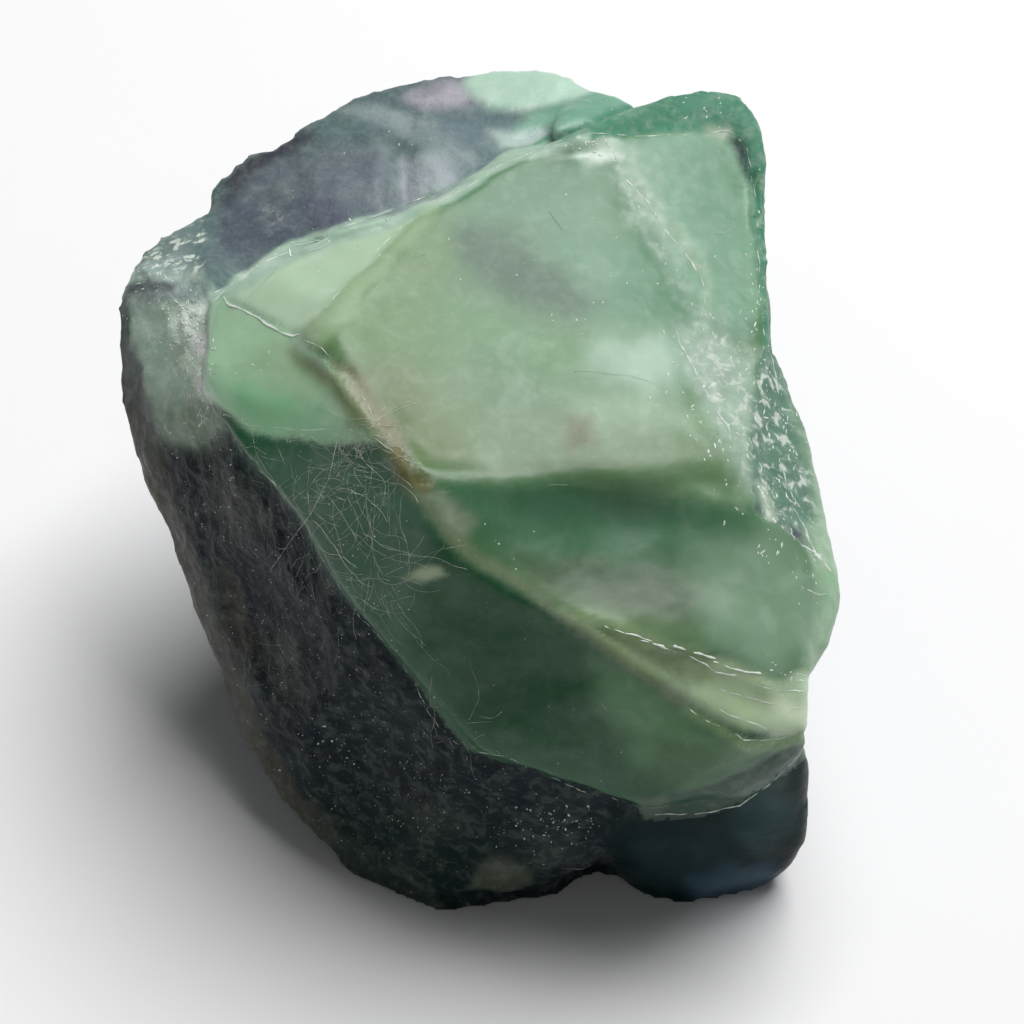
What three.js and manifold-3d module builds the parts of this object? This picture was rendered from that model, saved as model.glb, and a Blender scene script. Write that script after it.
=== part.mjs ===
// A rough broken lump of green fluorite, standing on its flat underside.
// Millimetres, +Z up, the broad pale face and the dark broken wall look towards -Y.
// The origin is on the surface it rests on, under the middle of the stone.
// The corners below are measured from under the point that the eye aims at.
import * as THREE from "three";
import { ConvexGeometry } from "three/addons/geometries/ConvexGeometry.js";
import { ImprovedNoise } from "three/addons/math/ImprovedNoise.js";
import { mergeVertices } from "three/addons/utils/BufferGeometryUtils.js";
import Module from "manifold-3d";

// The stone is about 58 wide, 61 deep and 47 high.
// Its front is measured as it shows to an eye that looks down at it.
const EYE_TILT = Math.PI / 4;
const EYE_DISTANCE = 230;
const AIM_HEIGHT = 25;

// Facets longer than this are divided before the surface is bent.
const FACET_EDGE = 6;
// Each swell bends the surface by about its size over about its length.
const SWELLS = [
  { length: 16, size: 0.7 },
  { length: 7, size: 0.5 },
  { length: 3.6, size: 0.3 },
];
// How finely the cutters' rounds are divided.
const FINE_EGG = 12;
const COARSE_EGG = 7;
// Corners closer than this are one corner.
const SAME_PLACE = 0.001;
const STONE_COLOUR = 0x7fa78e;

const SIGHT_ACROSS = new THREE.Vector3(1, 0, 0);
const SIGHT_UP = new THREE.Vector3(0, Math.sin(EYE_TILT), Math.cos(EYE_TILT));
const SIGHT_NEAR = new THREE.Vector3(0, -Math.cos(EYE_TILT), Math.sin(EYE_TILT));

// A corner seen `across` and `up` from the aim point, standing `near` in front of it.
function seen(across, up, near) {
  const shrink = 1 - near / EYE_DISTANCE;
  return new THREE.Vector3(0, 0, AIM_HEIGHT)
    .addScaledVector(SIGHT_ACROSS, across * shrink)
    .addScaledVector(SIGHT_UP, up * shrink)
    .addScaledVector(SIGHT_NEAR, near);
}

// A corner at a place in the stone's own frame.
function at(x, y, z) {
  return new THREE.Vector3(x, y, z);
}

// The dark core: base, left side, broken front wall and the back.
function core() {
  return {
    baseFront: at(-5.8, -20.6, -1),
    baseFrontMiddle: at(1.5, -18.6, -1),
    baseFrontRight: at(7.4, -18, -1),
    baseFrontLeft: at(-12.5, -17.2, -1),
    baseLeft: at(-16, -6, -1),
    baseLeftBack: at(-17, 8, -1),
    baseBackLeft: at(-11, 20, -1),
    baseBack: at(4, 24, -1),
    baseBackRight: at(17, 19, -1),
    baseRight: at(20.5, 4, -1),
    baseRightFront: at(14, -12, -1),
    leftFoot: seen(-12.8, -28.6, -4),
    leftFootHigher: seen(-15.5, -26.7, -4.8),
    leftShin: seen(-18.5, -24.6, -5),
    leftKnee: seen(-21.5, -19.2, -5.5),
    leftThigh: seen(-23.9, -12.5, -6),
    leftStep: seen(-24.3, -9.9, -6),
    leftSide: seen(-27.3, -3.2, -5.5),
    leftSideHigher: seen(-29.8, 3.2, -5),
    leftRib: seen(-31.4, 9, -4.5),
    leftArmpit: seen(-31.6, 13.4, -5),
    leftSideBack: at(-27, 8, 30),
    backLeftTop: at(-23.5, 25, 34),
    backLeft: at(-15, 33, 29),
    back: at(-3, 37, 33),
    backMiddle: at(9, 34.5, 38),
    backRight: at(19.5, 27.5, 38.5),
    backRightLow: at(20.5, 22, 12),
    backLow: at(-1, 32, 9),
    leftBackLow: at(-20, 18, 8),
    rightSideTop: at(20.3, 11, 35),
    rightSide: at(22.5, 3, 20),
    wallTopLeft: at(-22.5, 3.5, 35.5),
    wallTopLeftFront: at(-20.8, -2, 36.2),
    wallTopFront: at(-15.6, -9.4, 35.8),
    wallUpper: at(-12.5, -14.1, 33.4),
    wallMiddle: at(-8.2, -17.3, 29.2),
    wallLower: at(-3, -20.6, 22.8),
    wallRight: at(3.6, -21.7, 20.8),
    wallRightEnd: at(9.7, -22.4, 18.2),
    wallLeft: seen(-28.3, 4.8, -1.5),
    wallRightFoot: seen(8, -26.7, 4.5),
    wallFoot: seen(0.6, -29.4, -1.2),
    wallBelly: seen(-5.8, -25.4, 6),
    wallLeftFoot: seen(-17, -22.2, -2),
  };
}

// The big pale block on top, with its bevelled back and right edges.
function crown() {
  return {
    leftTip: seen(-23.2, 17.8, 5),
    leftRim: seen(-17.8, 21, 4.2),
    rim: seen(-9, 24.5, 4),
    rimMiddle: seen(-1, 28, 2.5),
    rimRight: seen(6.2, 30.2, 2.5),
    topRight: seen(17.3, 30.7, -1.5),
    rightRim: seen(19.6, 25.8, 1.5),
    rightRimLower: seen(20.3, 17, 5.5),
    lowerRight: seen(18.9, 0.3, 14.3),
    lowerEdge: seen(7, 1.4, 18.2),
    nose: seen(-6.6, 2.6, 20.8),
    cheek: seen(-10.2, 6.6, 18.8),
    cheekHigher: seen(-13.4, 11.2, 15.3),
    kink: seen(-17, 14.2, 11.8),
    facetTop: seen(-24.3, 16.6, 3.6),
    facetLeft: seen(-24.8, 10.2, 6.5),
    facetFoot: seen(-21, 6.7, 9.5),
    facetFootMiddle: seen(-14.6, 5.6, 14.2),
    facetFootRight: seen(-9.9, 5.4, 18),
    bevelLeft: seen(3.8, 29.9, 1),
    bevelRise: seen(11.4, 32.9, -6.5),
    bevelTop: seen(13.4, 33.8, -7.2),
    bevelTopRight: seen(16.2, 33.9, -7.8),
    bevelCorner: seen(18.4, 33.3, -8),
    bevelShoulder: seen(19.7, 31.2, -7.5),
    bevelRight: seen(20, 29, -5),
    bevelRightLower: seen(20.2, 21.8, -1),
    bevelStep: seen(20.6, 20, 0),
    bevelEnd: seen(20.9, 13.1, 3),
    buriedBack: at(18.5, 27.5, 30),
    buriedLeft: at(-10, 14, 30),
    buriedFrontLeft: at(-14, 0, 28),
    buriedFront: at(10, -8, 28),
    buriedRight: at(20, 4, 27),
  };
}

// The smooth dark green face in front, running down to the broken wall.
function frontFace() {
  return {
    nose: seen(-6.6, 0.5, 20.4),
    ridge: seen(-2.6, -3.8, 20),
    ridgeMiddle: seen(3.8, -8.2, 19.6),
    ridgeLower: seen(10.6, -12.5, 18.6),
    ridgeEnd: seen(14.2, -15.2, 17.5),
    paleFoot: seen(19, -18.5, 16.5),
    paleFootRight: seen(23.5, -17.9, 14.5),
    lipRight: seen(10.2, -23.5, 11),
    lip: seen(3.8, -21.4, 12.2),
    lipMiddle: seen(-3.4, -19, 12.8),
    lipHigher: seen(-9, -12, 15),
    lipUpper: seen(-13.8, -6.2, 15.8),
    lipTop: seen(-17, -0.6, 14.5),
    lipLeft: seen(-22.1, 5.3, 9.6),
    lipLeftEnd: seen(-24.2, 8.8, 6.6),
    shelfLeft: seen(-21, 6.4, 9.8),
    shelf: seen(-14.6, 5.4, 14.4),
    shelfRight: seen(-9.8, 5.3, 18),
    paleTop: seen(24.1, -14.2, 14.5),
    paleTopLeft: seen(20.6, -15.2, 16),
    underLip: seen(11, -24.2, 9),
    underLipMiddle: seen(18.2, -23, 9.2),
    underLipRight: seen(23.5, -19.5, 11.5),
    buriedRight: at(21, -12, 12),
    buriedMiddle: at(0, -14, 14),
    buriedLeft: at(-12, -6, 24),
    buriedBack: at(18, -6, 26),
    buriedTop: at(4, -10, 32),
  };
}

// The swelling on the right, below the crown.
function rightBulge() {
  return {
    ridge: seen(-2.6, -4.8, 19.6),
    ridgeMiddle: seen(7, -9.1, 19.2),
    ridgeLower: seen(13.4, -11.2, 18.2),
    ridgeEnd: seen(20.6, -15, 17.2),
    chin: seen(24.3, -12.6, 13.5),
    chinRight: seen(25.8, -10.2, 11.8),
    rightmost: seen(26.6, -7.9, 10.8),
    rightmostHigher: seen(26.6, -6.1, 10),
    side: seen(25.9, -2.2, 8),
    sideHigher: seen(23.7, 2.3, 5.5),
    sideUpper: seen(22.4, 6.6, 3.2),
    sideTop: seen(22, 10.6, 2),
    top: seen(21.3, 12.8, 2),
    underCrown: seen(7, 1, 17.2),
    underCrownRight: seen(18.9, 0.6, 14.3),
    underCrownLeft: seen(-5.8, 1, 19.5),
    foot: at(21.5, -15, 19),
    footBack: at(22, 2, 15),
    back: at(21.3, 13, 29),
    backLower: at(21, 14, 20),
    buriedLeft: at(10, -14, 24),
  };
}

// The smooth dark foot at the right.
function rightFoot() {
  return {
    topLeft: seen(9.4, -23.5, 6.5),
    top: seen(18.2, -22.7, 6),
    topRight: seen(23.5, -19.2, 9),
    rightTop: seen(24, -22.5, 4),
    rightMiddle: seen(23.7, -25.1, 1),
    rightLower: seen(22.9, -27.8, -2),
    rightToe: seen(21.8, -29.4, -4),
    toe: seen(18.3, -30.7, -4.7),
    toeMiddle: seen(16.2, -31.4, -4.2),
    toeFront: seen(14.2, -31.7, -3.9),
    toeLeft: seen(11.8, -31.3, -4.3),
    toeLeftEnd: seen(10.1, -30.6, -4.6),
    notchSide: seen(8.8, -29.1, -2.5),
    right: at(21.8, -10, -1),
    back: at(20.5, 3, -1),
    backTop: at(21, 6, 14),
    buriedLeft: at(2, -10, -1),
    buriedLeftTop: at(2, -10, 14),
    topBack: at(21.5, -6, 18),
  };
}

// The glassy shoulder at the left of the crown.
function leftShoulder() {
  return {
    leftmost: seen(-31.5, 13, -4.5),
    leftmostHigher: seen(-31.9, 15.7, -5),
    top: seen(-31, 17.7, -5),
    topBack: seen(-30.1, 20, -4),
    lower: seen(-29.8, 9, -2),
    inner: seen(-24.3, 17, 3),
    innerLower: seen(-24.8, 10.2, 5.5),
    innerFoot: seen(-23.8, 7.4, 6.5),
    foot: seen(-28.2, 5.8, 0),
    back: at(-24, 21, 33),
    below: at(-26.5, 9, 26),
    buried: at(-20, 16, 26),
  };
}

// The small knob above the left shoulder.
function leftKnob() {
  return {
    lower: seen(-30.8, 18.4, -5),
    left: seen(-30.9, 19.5, -6),
    upper: seen(-30.6, 20.8, -7),
    crest: seen(-29.8, 21.9, -7.8),
    crestRight: seen(-28, 22.5, -8),
    crestEnd: seen(-24.5, 24.3, -8.4),
    inner: seen(-24, 19, 1.2),
    innerLower: seen(-24.3, 16.8, 3),
    front: seen(-29, 17, -1.5),
    back: at(-24.5, 22, 34),
    below: at(-26, 12, 28),
    buriedTop: at(-14, 10, 34),
  };
}

// The rough grey hump behind the crown, left part.
function backHumpLeft() {
  return {
    start: seen(-24.3, 24.6, -9),
    rise: seen(-23.9, 25.8, -9.6),
    step: seen(-23.4, 27.3, -10.4),
    stepTop: seen(-22.2, 28.5, -11.2),
    crest: seen(-20.6, 29.4, -11.8),
    crestRight: seen(-18.5, 29.7, -12.4),
    crestEnd: seen(-17, 29.9, -12.6),
    frontLeft: at(-20, 8, 37.5),
    front: at(-12, 13, 39),
    frontBack: at(-10, 20, 38),
    back: at(-14, 32.5, 27),
    backLeft: at(-23.5, 24, 27),
    buried: at(-8, 12, 30),
  };
}

// The same hump, middle part.
function backHumpMiddle() {
  return {
    start: seen(-18.6, 29.6, -12),
    rise: seen(-17.9, 30.5, -12.6),
    riseMiddle: seen(-17, 31.4, -13.4),
    shoulder: seen(-13.5, 32.9, -14.4),
    shoulderRight: seen(-11.6, 33.6, -14.8),
    crestLeft: seen(-9.9, 34.4, -15),
    crest: seen(-8.3, 34.7, -15.2),
    crestRight: seen(-6.9, 34.8, -15),
    crestEnd: seen(-3, 35.3, -15),
    frontLeft: at(-14, 12, 39.5),
    front: at(0, 18, 40.6),
    frontRight: at(4, 22, 40.4),
    back: at(-3, 36, 24),
    backLeft: at(-15, 32, 26),
    buried: at(-8, 12, 30),
    buriedRight: at(2, 26, 30),
  };
}

// The pale green top of the hump, right of the middle.
function paleHump() {
  return {
    start: seen(-6.6, 34.6, -14.9),
    rise: seen(-4.8, 35.1, -14.5),
    crest: seen(-1, 35.6, -14.5),
    crestRight: seen(1.8, 35.7, -14),
    crestEnd: seen(3.8, 35.4, -13.5),
    fall: seen(4.8, 34.9, -13.2),
    fallEnd: seen(5.7, 33.9, -12.6),
    frontLeft: at(-9, 19, 41),
    front: at(8, 18, 40),
    frontRight: at(8, 24, 40.5),
    back: at(2, 36.3, 26),
    backRight: at(9, 34, 28),
    backLeft: at(-5, 35.5, 28),
    buried: at(8, 24, 28),
  };
}

// The small green knob between the hump and the crown's bevel.
function greenKnob() {
  return {
    start: seen(5.4, 33.8, -13),
    crest: seen(7.3, 33.8, -13),
    crestRight: seen(8.5, 33.5, -12.8),
    fall: seen(9.8, 32.5, -12),
    right: seen(10.6, 31, -8),
    left: seen(2.6, 31, -6),
    back: at(6, 34.5, 31),
    backRight: at(14, 31, 30),
    buried: at(6, 22, 30),
    buriedRight: at(12, 22, 36),
    buriedLeft: at(4, 18, 36),
  };
}

// The thin flake that stands up along the crown's upper edge.
function rimFlake() {
  return {
    tip: seen(-17.9, 21.4, 4.8),
    foot: seen(-16.8, 20.2, 4.6),
    footRight: seen(-6.6, 23.8, 4.5),
    end: seen(-6.1, 25, 4.4),
    edge: seen(-12.2, 23.6, 4.6),
    buried: at(-12, 14, 38),
  };
}

// An egg-shaped cutter.
function egg(centre, radii, turn, detail) {
  const shape = new THREE.IcosahedronGeometry(1, detail);
  const rotation = new THREE.Quaternion().setFromEuler(new THREE.Euler(...turn));
  return shape.applyMatrix4(new THREE.Matrix4().compose(centre, rotation, new THREE.Vector3(...radii)));
}

// The wide shallow hollows of the crown's pale face. The ridge between them is the whitish line.
function crownHollows() {
  const outOfFace = at(0.13, -0.2, 1).normalize();
  const lean = [0.2, 0.13, 0.35];
  const hollows = [
    { middle: seen(-0.6, 14.6, 12.7), rise: 6.4, radii: [25, 32, 8.8] },
    { middle: seen(24, 15.4, 5.4), rise: 8.2, radii: [18, 42, 10.6] },
  ];
  return hollows.map(({ middle, rise, radii }) =>
    egg(middle.addScaledVector(outOfFace, rise), radii, lean, FINE_EGG));
}

// The long trough below the crown's front edge.
function troughUnderCrown() {
  const centre = at(10, -19.8, 41.6);
  const radii = [27, 11, 9.3];
  const lean = [0, 0.18, 0.05];
  return egg(centre, radii, lean, FINE_EGG);
}

// The dark gap under the front wall, beside the right foot.
function footNotch() {
  const centre = at(6.8, -21.3, 0);
  const radii = [3.2, 4.2, 4.4];
  const lean = [0, 0, 0.1];
  return egg(centre, radii, lean, COARSE_EGG);
}

// Shell-shaped chips: where each sits, which way it faces, and its round's radius and depth.
const CHIPS = [
  { place: at(-18, -10.4, 24.6), facing: at(-0.7, -0.7, -0.06), radius: 22, depth: 0.8 },
  { place: at(-11.8, -16.2, 17), facing: at(-0.46, -0.88, -0.06), radius: 22, depth: 0.8 },
  { place: at(-14.6, -16, 9.4), facing: at(-0.5, -0.86, -0.06), radius: 24, depth: 0.9 },
  { place: at(-2.6, -21, 12.2), facing: at(-0.2, -0.96, -0.12), radius: 20, depth: 0.8 },
  { place: at(-20.6, -6.6, 23), facing: at(-0.74, -0.66, 0.04), radius: 16, depth: 0.7 },
  { place: at(-18.8, -12.6, 10.4), facing: at(-0.7, -0.7, 0), radius: 13, depth: 0.6 },
  { place: at(13.4, -20.4, 8.6), facing: at(0.1, -1, -0.1), radius: 20, depth: 0.6 },
  { place: at(22.6, -9.4, 8.6), facing: at(1, 0.02, 0.06), radius: 24, depth: 0.9 },
  { place: at(-27.4, 13.4, 22.4), facing: at(-0.84, 0.4, -0.4), radius: 22, depth: 1.1 },
  { place: at(-20.6, 8.8, 8.4), facing: at(-0.8, 0.3, -0.5), radius: 22, depth: 0.9 },
  { place: at(-22.6, 20, 21.6), facing: at(-0.74, 0.62, -0.2), radius: 30, depth: 1.3 },
  { place: at(-16.6, 23.4, 11), facing: at(-0.56, 0.74, -0.38), radius: 24, depth: 1.0 },
  { place: at(-11, 33, 24), facing: at(-0.36, 0.88, -0.22), radius: 34, depth: 1.4 },
  { place: at(1.6, 34.8, 25), facing: at(0.06, 1, -0.06), radius: 30, depth: 1.3 },
  { place: at(2, 32, 10), facing: at(0.06, 0.88, -0.4), radius: 28, depth: 1.1 },
  { place: at(13.6, 29.6, 26.6), facing: at(0.4, 0.9, -0.04), radius: 32, depth: 1.5 },
  { place: at(14.2, 24, 10.6), facing: at(0.56, 0.8, -0.2), radius: 26, depth: 1.1 },
  { place: at(20.8, 18.6, 24.6), facing: at(0.99, 0.2, 0.04), radius: 30, depth: 1.2 },
  { place: at(21.4, 9.6, 11.4), facing: at(0.99, 0.06, -0.14), radius: 28, depth: 1.1 },
];

function chip({ place, facing, radius, depth }) {
  const outward = facing.clone().normalize();
  const centre = place.clone().addScaledVector(outward, radius - depth);
  return egg(centre, [radius, radius, radius], place.toArray(), COARSE_EGG);
}

// Everything below the surface that the stone stands on.
function ground() {
  const side = 200;
  const depth = 20;
  return new THREE.BoxGeometry(side, side, depth).translate(0, 0, -depth / 2);
}

// A geometry's corners and triangles, with its shared corners merged.
function trianglesOf(geometry) {
  const bare = geometry.clone().deleteAttribute("normal").deleteAttribute("uv");
  const merged = mergeVertices(bare, SAME_PLACE);
  const place = merged.attributes.position;
  const index = merged.index.array;
  const corners = [];
  for (let i = 0; i < place.count; i += 1) {
    corners.push(new THREE.Vector3().fromBufferAttribute(place, i));
  }
  const triangles = [];
  for (let i = 0; i < index.length; i += 3) {
    triangles.push([index[i], index[i + 1], index[i + 2]]);
  }
  return { corners, triangles };
}

const edgeKey = (i, j) => `${Math.min(i, j)},${Math.max(i, j)}`;

// The edges that are the longest of one of their triangles, and longer than a facet's edge may be.
function edgesToSplit(corners, triangles) {
  const split = new Set();
  for (const triangle of triangles) {
    const edges = triangle.map((i, k) => [i, triangle[(k + 1) % 3]]);
    const lengths = edges.map(([i, j]) => corners[i].distanceTo(corners[j]));
    const longest = Math.max(...lengths);
    if (longest > FACET_EDGE) {
      split.add(edgeKey(...edges[lengths.indexOf(longest)]));
    }
  }
  return split;
}

// One triangle cut at the middles of its split edges. A middle is undefined where the edge stays whole.
function cutTriangle(triangle, middles) {
  const count = middles.filter((middle) => middle !== undefined).length;
  if (count === 0) {
    return [triangle];
  }
  // Turned so that the first edge is split and, with two split edges, the last one is whole.
  const isSplit = (k) => middles[k % 3] !== undefined;
  const first = [0, 1, 2].find((k) => isSplit(k) && (count !== 2 || !isSplit(k + 2)));
  const [a, b, c] = [0, 1, 2].map((k) => triangle[(k + first) % 3]);
  const [ab, bc, ca] = [0, 1, 2].map((k) => middles[(k + first) % 3]);
  if (count === 1) {
    return [[a, ab, c], [ab, b, c]];
  }
  if (count === 2) {
    return [[a, ab, c], [ab, b, bc], [ab, bc, c]];
  }
  return [[a, ab, ca], [ab, b, bc], [ca, bc, c], [ab, bc, ca]];
}

// Halves long edges, longest first, until none is longer than a facet's edge may be.
function divided({ corners, triangles }) {
  let split = edgesToSplit(corners, triangles);
  while (split.size > 0) {
    const middles = new Map();
    for (const key of split) {
      const [i, j] = key.split(",").map(Number);
      middles.set(key, corners.length);
      corners.push(corners[i].clone().lerp(corners[j], 0.5));
    }
    triangles = triangles.flatMap((triangle) =>
      cutTriangle(triangle, triangle.map((i, k) => middles.get(edgeKey(i, triangle[(k + 1) % 3])))));
    split = edgesToSplit(corners, triangles);
  }
  return { corners, triangles };
}

const noise = new ImprovedNoise();

// Moves a point by the swells, so that flat facets and straight edges become natural ones.
function bent(point) {
  const moved = point.clone();
  for (const { length, size } of SWELLS) {
    const [x, y, z] = point.clone().divideScalar(length).toArray();
    moved.x += size * noise.noise(x, y + 5.1, z + 8.7 + length);
    moved.y += size * noise.noise(x + 17.3, y + 8.1, z + 8.7 + length);
    moved.z += size * noise.noise(x + 34.6, y + 11.1, z + 8.7 + length);
  }
  return moved;
}

const wasm = await Module();
wasm.setup();

function solid({ corners, triangles }) {
  return new wasm.Manifold(new wasm.Mesh({
    numProp: 3,
    vertProperties: new Float32Array(corners.flatMap((corner) => corner.toArray())),
    triVerts: new Uint32Array(triangles.flat()),
  }));
}

function bentSolid(geometry) {
  const { corners, triangles } = divided(trianglesOf(geometry));
  return solid({ corners: corners.map(bent), triangles });
}

function lump(corners) {
  return bentSolid(new ConvexGeometry(Object.values(corners)));
}

// The lumps grown together, with the hollows and chips broken out and the underside cut flat.
function stoneSolid() {
  const lumps = [
    core(), crown(), frontFace(), rightBulge(), rightFoot(), leftShoulder(), leftKnob(),
    backHumpLeft(), backHumpMiddle(), paleHump(), greenKnob(), rimFlake(),
  ];
  const whole = lumps.map(lump).reduce((stone, next) => stone.add(next));
  const cutters = [...crownHollows(), troughUnderCrown(), footNotch(), ...CHIPS.map(chip)];
  const broken = cutters.map(bentSolid).reduce((stone, cutter) => stone.subtract(cutter), whole);
  const standing = broken.subtract(solid(trianglesOf(ground())));
  return standing.decompose().sort((a, b) => b.volume() - a.volume())[0];
}

// The stone's mesh, moved so that the origin is below the middle of its box.
function stoneMesh() {
  const { vertProperties, triVerts } = stoneSolid().getMesh();
  const geometry = new THREE.BufferGeometry();
  geometry.setAttribute("position", new THREE.BufferAttribute(new Float32Array(vertProperties), 3));
  geometry.setIndex(new THREE.BufferAttribute(new Uint32Array(triVerts), 1));
  geometry.computeBoundingBox();
  const middle = geometry.boundingBox.getCenter(new THREE.Vector3());
  geometry.translate(-middle.x, -middle.y, 0);
  geometry.computeVertexNormals();
  const material = new THREE.MeshStandardMaterial({ color: STONE_COLOUR, roughness: 0.35, metalness: 0 });
  const mesh = new THREE.Mesh(geometry, material);
  mesh.name = "fluorite_stone";
  return mesh;
}

const stone = new THREE.Group();
stone.add(stoneMesh());

export default stone;
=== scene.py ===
"""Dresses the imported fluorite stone: its broken relief, its colours and clouds, and the lint that lies on it.

Inside the classes a length is in millimetres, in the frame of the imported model: +Z is up, and the front
of the stone is towards -Y. Only the studio and the meshes themselves are in metres. Colours are written
as a screen shows them, from 0 to 255, and are turned into linear light as they are used.
"""

import logging
import math
from dataclasses import dataclass, field
from enum import Enum

import bpy
import numpy as np
from mathutils import Matrix, Vector
from mathutils.bvhtree import BVHTree

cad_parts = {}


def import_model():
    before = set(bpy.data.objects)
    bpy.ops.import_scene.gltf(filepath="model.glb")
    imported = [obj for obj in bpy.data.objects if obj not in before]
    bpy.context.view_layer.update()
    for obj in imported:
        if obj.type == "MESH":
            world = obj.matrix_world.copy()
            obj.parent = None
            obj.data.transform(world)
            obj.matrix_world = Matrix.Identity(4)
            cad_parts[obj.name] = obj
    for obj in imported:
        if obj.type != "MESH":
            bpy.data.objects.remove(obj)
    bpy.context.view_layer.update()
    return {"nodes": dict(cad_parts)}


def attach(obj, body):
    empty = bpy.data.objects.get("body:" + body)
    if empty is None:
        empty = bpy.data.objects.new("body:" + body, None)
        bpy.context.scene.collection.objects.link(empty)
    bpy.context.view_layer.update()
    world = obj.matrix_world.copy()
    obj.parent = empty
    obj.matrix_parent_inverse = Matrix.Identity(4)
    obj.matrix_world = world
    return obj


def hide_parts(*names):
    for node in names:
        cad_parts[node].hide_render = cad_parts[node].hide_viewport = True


LOG = logging.getLogger("fluorite")
METRE = 1000.0
BODY = "root"
STONE_NODE = "fluorite_stone"
STONE_PIECE = "broken_fluorite"
STONE_SEED = 7
BRUISE_SEED = 23
LINT_SEED = 11
FLUORITE_INDEX = 1.434
NODE_STEP = 190.0

Colour = tuple[float, float, float]
Outline = tuple[tuple[float, float], ...]


class Layer(Enum):
    """The painted layers that a mesh carries for its material."""

    TINT = "tint"
    SURFACE = "surface"
    LIE = "lie"


def linear(colour: Colour) -> np.ndarray:
    """Turns a colour into linear light.

    Args:
        colour: red, green and blue from 0 to 255, as a screen shows them.

    Returns:
        Red, green and blue from 0 to 1.
    """
    shown = np.asarray(colour, float) / 255.0
    return np.where(shown <= 0.04045, shown / 12.92, ((shown + 0.055) / 1.055) ** 2.4)


def shade(colour: Colour) -> tuple[float, ...]:
    """Gives a colour as a socket takes it."""
    return (*linear(colour), 1.0)


def rise(low: float, high: float, value: np.ndarray) -> np.ndarray:
    """Goes smoothly from 0 at low to 1 at high.

    Args:
        low: the value where the rise starts.
        high: the value where it ends.
        value: the values to read.

    Returns:
        A share from 0 to 1 for each value.
    """
    share = np.clip((value - low) / (high - low), 0.0, 1.0)
    return share * share * (3.0 - 2.0 * share)


@dataclass(frozen=True)
class Sight:
    """The line of sight in which the stone's front is laid out, and from which the camera looks."""

    aim: tuple[float, float, float] = (3.8, -6.65, 25.0)
    tilt: float = math.radians(45.0)
    distance: float = 230.0
    frame_width: float = 81.92
    sensor_width: float = 36.0

    def axes(self) -> tuple[np.ndarray, np.ndarray, np.ndarray]:
        """Gives the directions across, up and near, which is towards the eye."""
        sine, cosine = math.sin(self.tilt), math.cos(self.tilt)
        return np.array([1.0, 0.0, 0.0]), np.array([0.0, sine, cosine]), np.array([0.0, -cosine, sine])

    def eye(self) -> np.ndarray:
        """Gives the place of the eye."""
        return np.array(self.aim) + self.axes()[2] * self.distance

    def seen(self, points: np.ndarray) -> np.ndarray:
        """Measures where points show.

        Args:
            points: places on the stone, one row each.

        Returns:
            How far across and up from the aim each one shows, one row each.
        """
        across, up, near = self.axes()
        offset = points - np.array(self.aim)
        shrink = 1.0 - offset @ near / self.distance
        return np.stack([offset @ across / shrink, offset @ up / shrink], axis=1)

    def toward(self, across: float, up: float) -> Vector:
        """Gives the direction in which a place shows.

        Args:
            across: how far right of the aim it shows.
            up: how far above the aim it shows.

        Returns:
            The direction from the eye, of length 1.
        """
        right, rising, near = self.axes()
        line = right * across + rising * up - near * self.distance
        return Vector(line / np.linalg.norm(line))

    def camera(self) -> bpy.types.Object:
        """Sets up the camera at the eye.

        Returns:
            The camera, which is also the scene's own.
        """
        lens = bpy.data.cameras.new("camera")
        lens.sensor_width = self.sensor_width
        lens.lens = self.sensor_width * self.distance / self.frame_width
        lens.clip_start, lens.clip_end = 0.01, 10.0
        lens.dof.use_dof = False
        camera = bpy.data.objects.new("camera", lens)
        bpy.context.scene.collection.objects.link(camera)
        turn = Matrix([Vector(axis) for axis in self.axes()]).transposed()
        camera.matrix_world = Matrix.Translation(Vector(self.eye()) / METRE) @ turn.to_4x4()
        bpy.context.scene.camera = camera
        return camera


def place_piece(name: str, mesh: bpy.types.Mesh) -> bpy.types.Object:
    """Puts a mesh into the scene.

    Args:
        name: the piece's name.
        mesh: its mesh.

    Returns:
        The piece.
    """
    piece = bpy.data.objects.new(name, mesh)
    bpy.context.scene.collection.objects.link(piece)
    return piece


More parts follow.
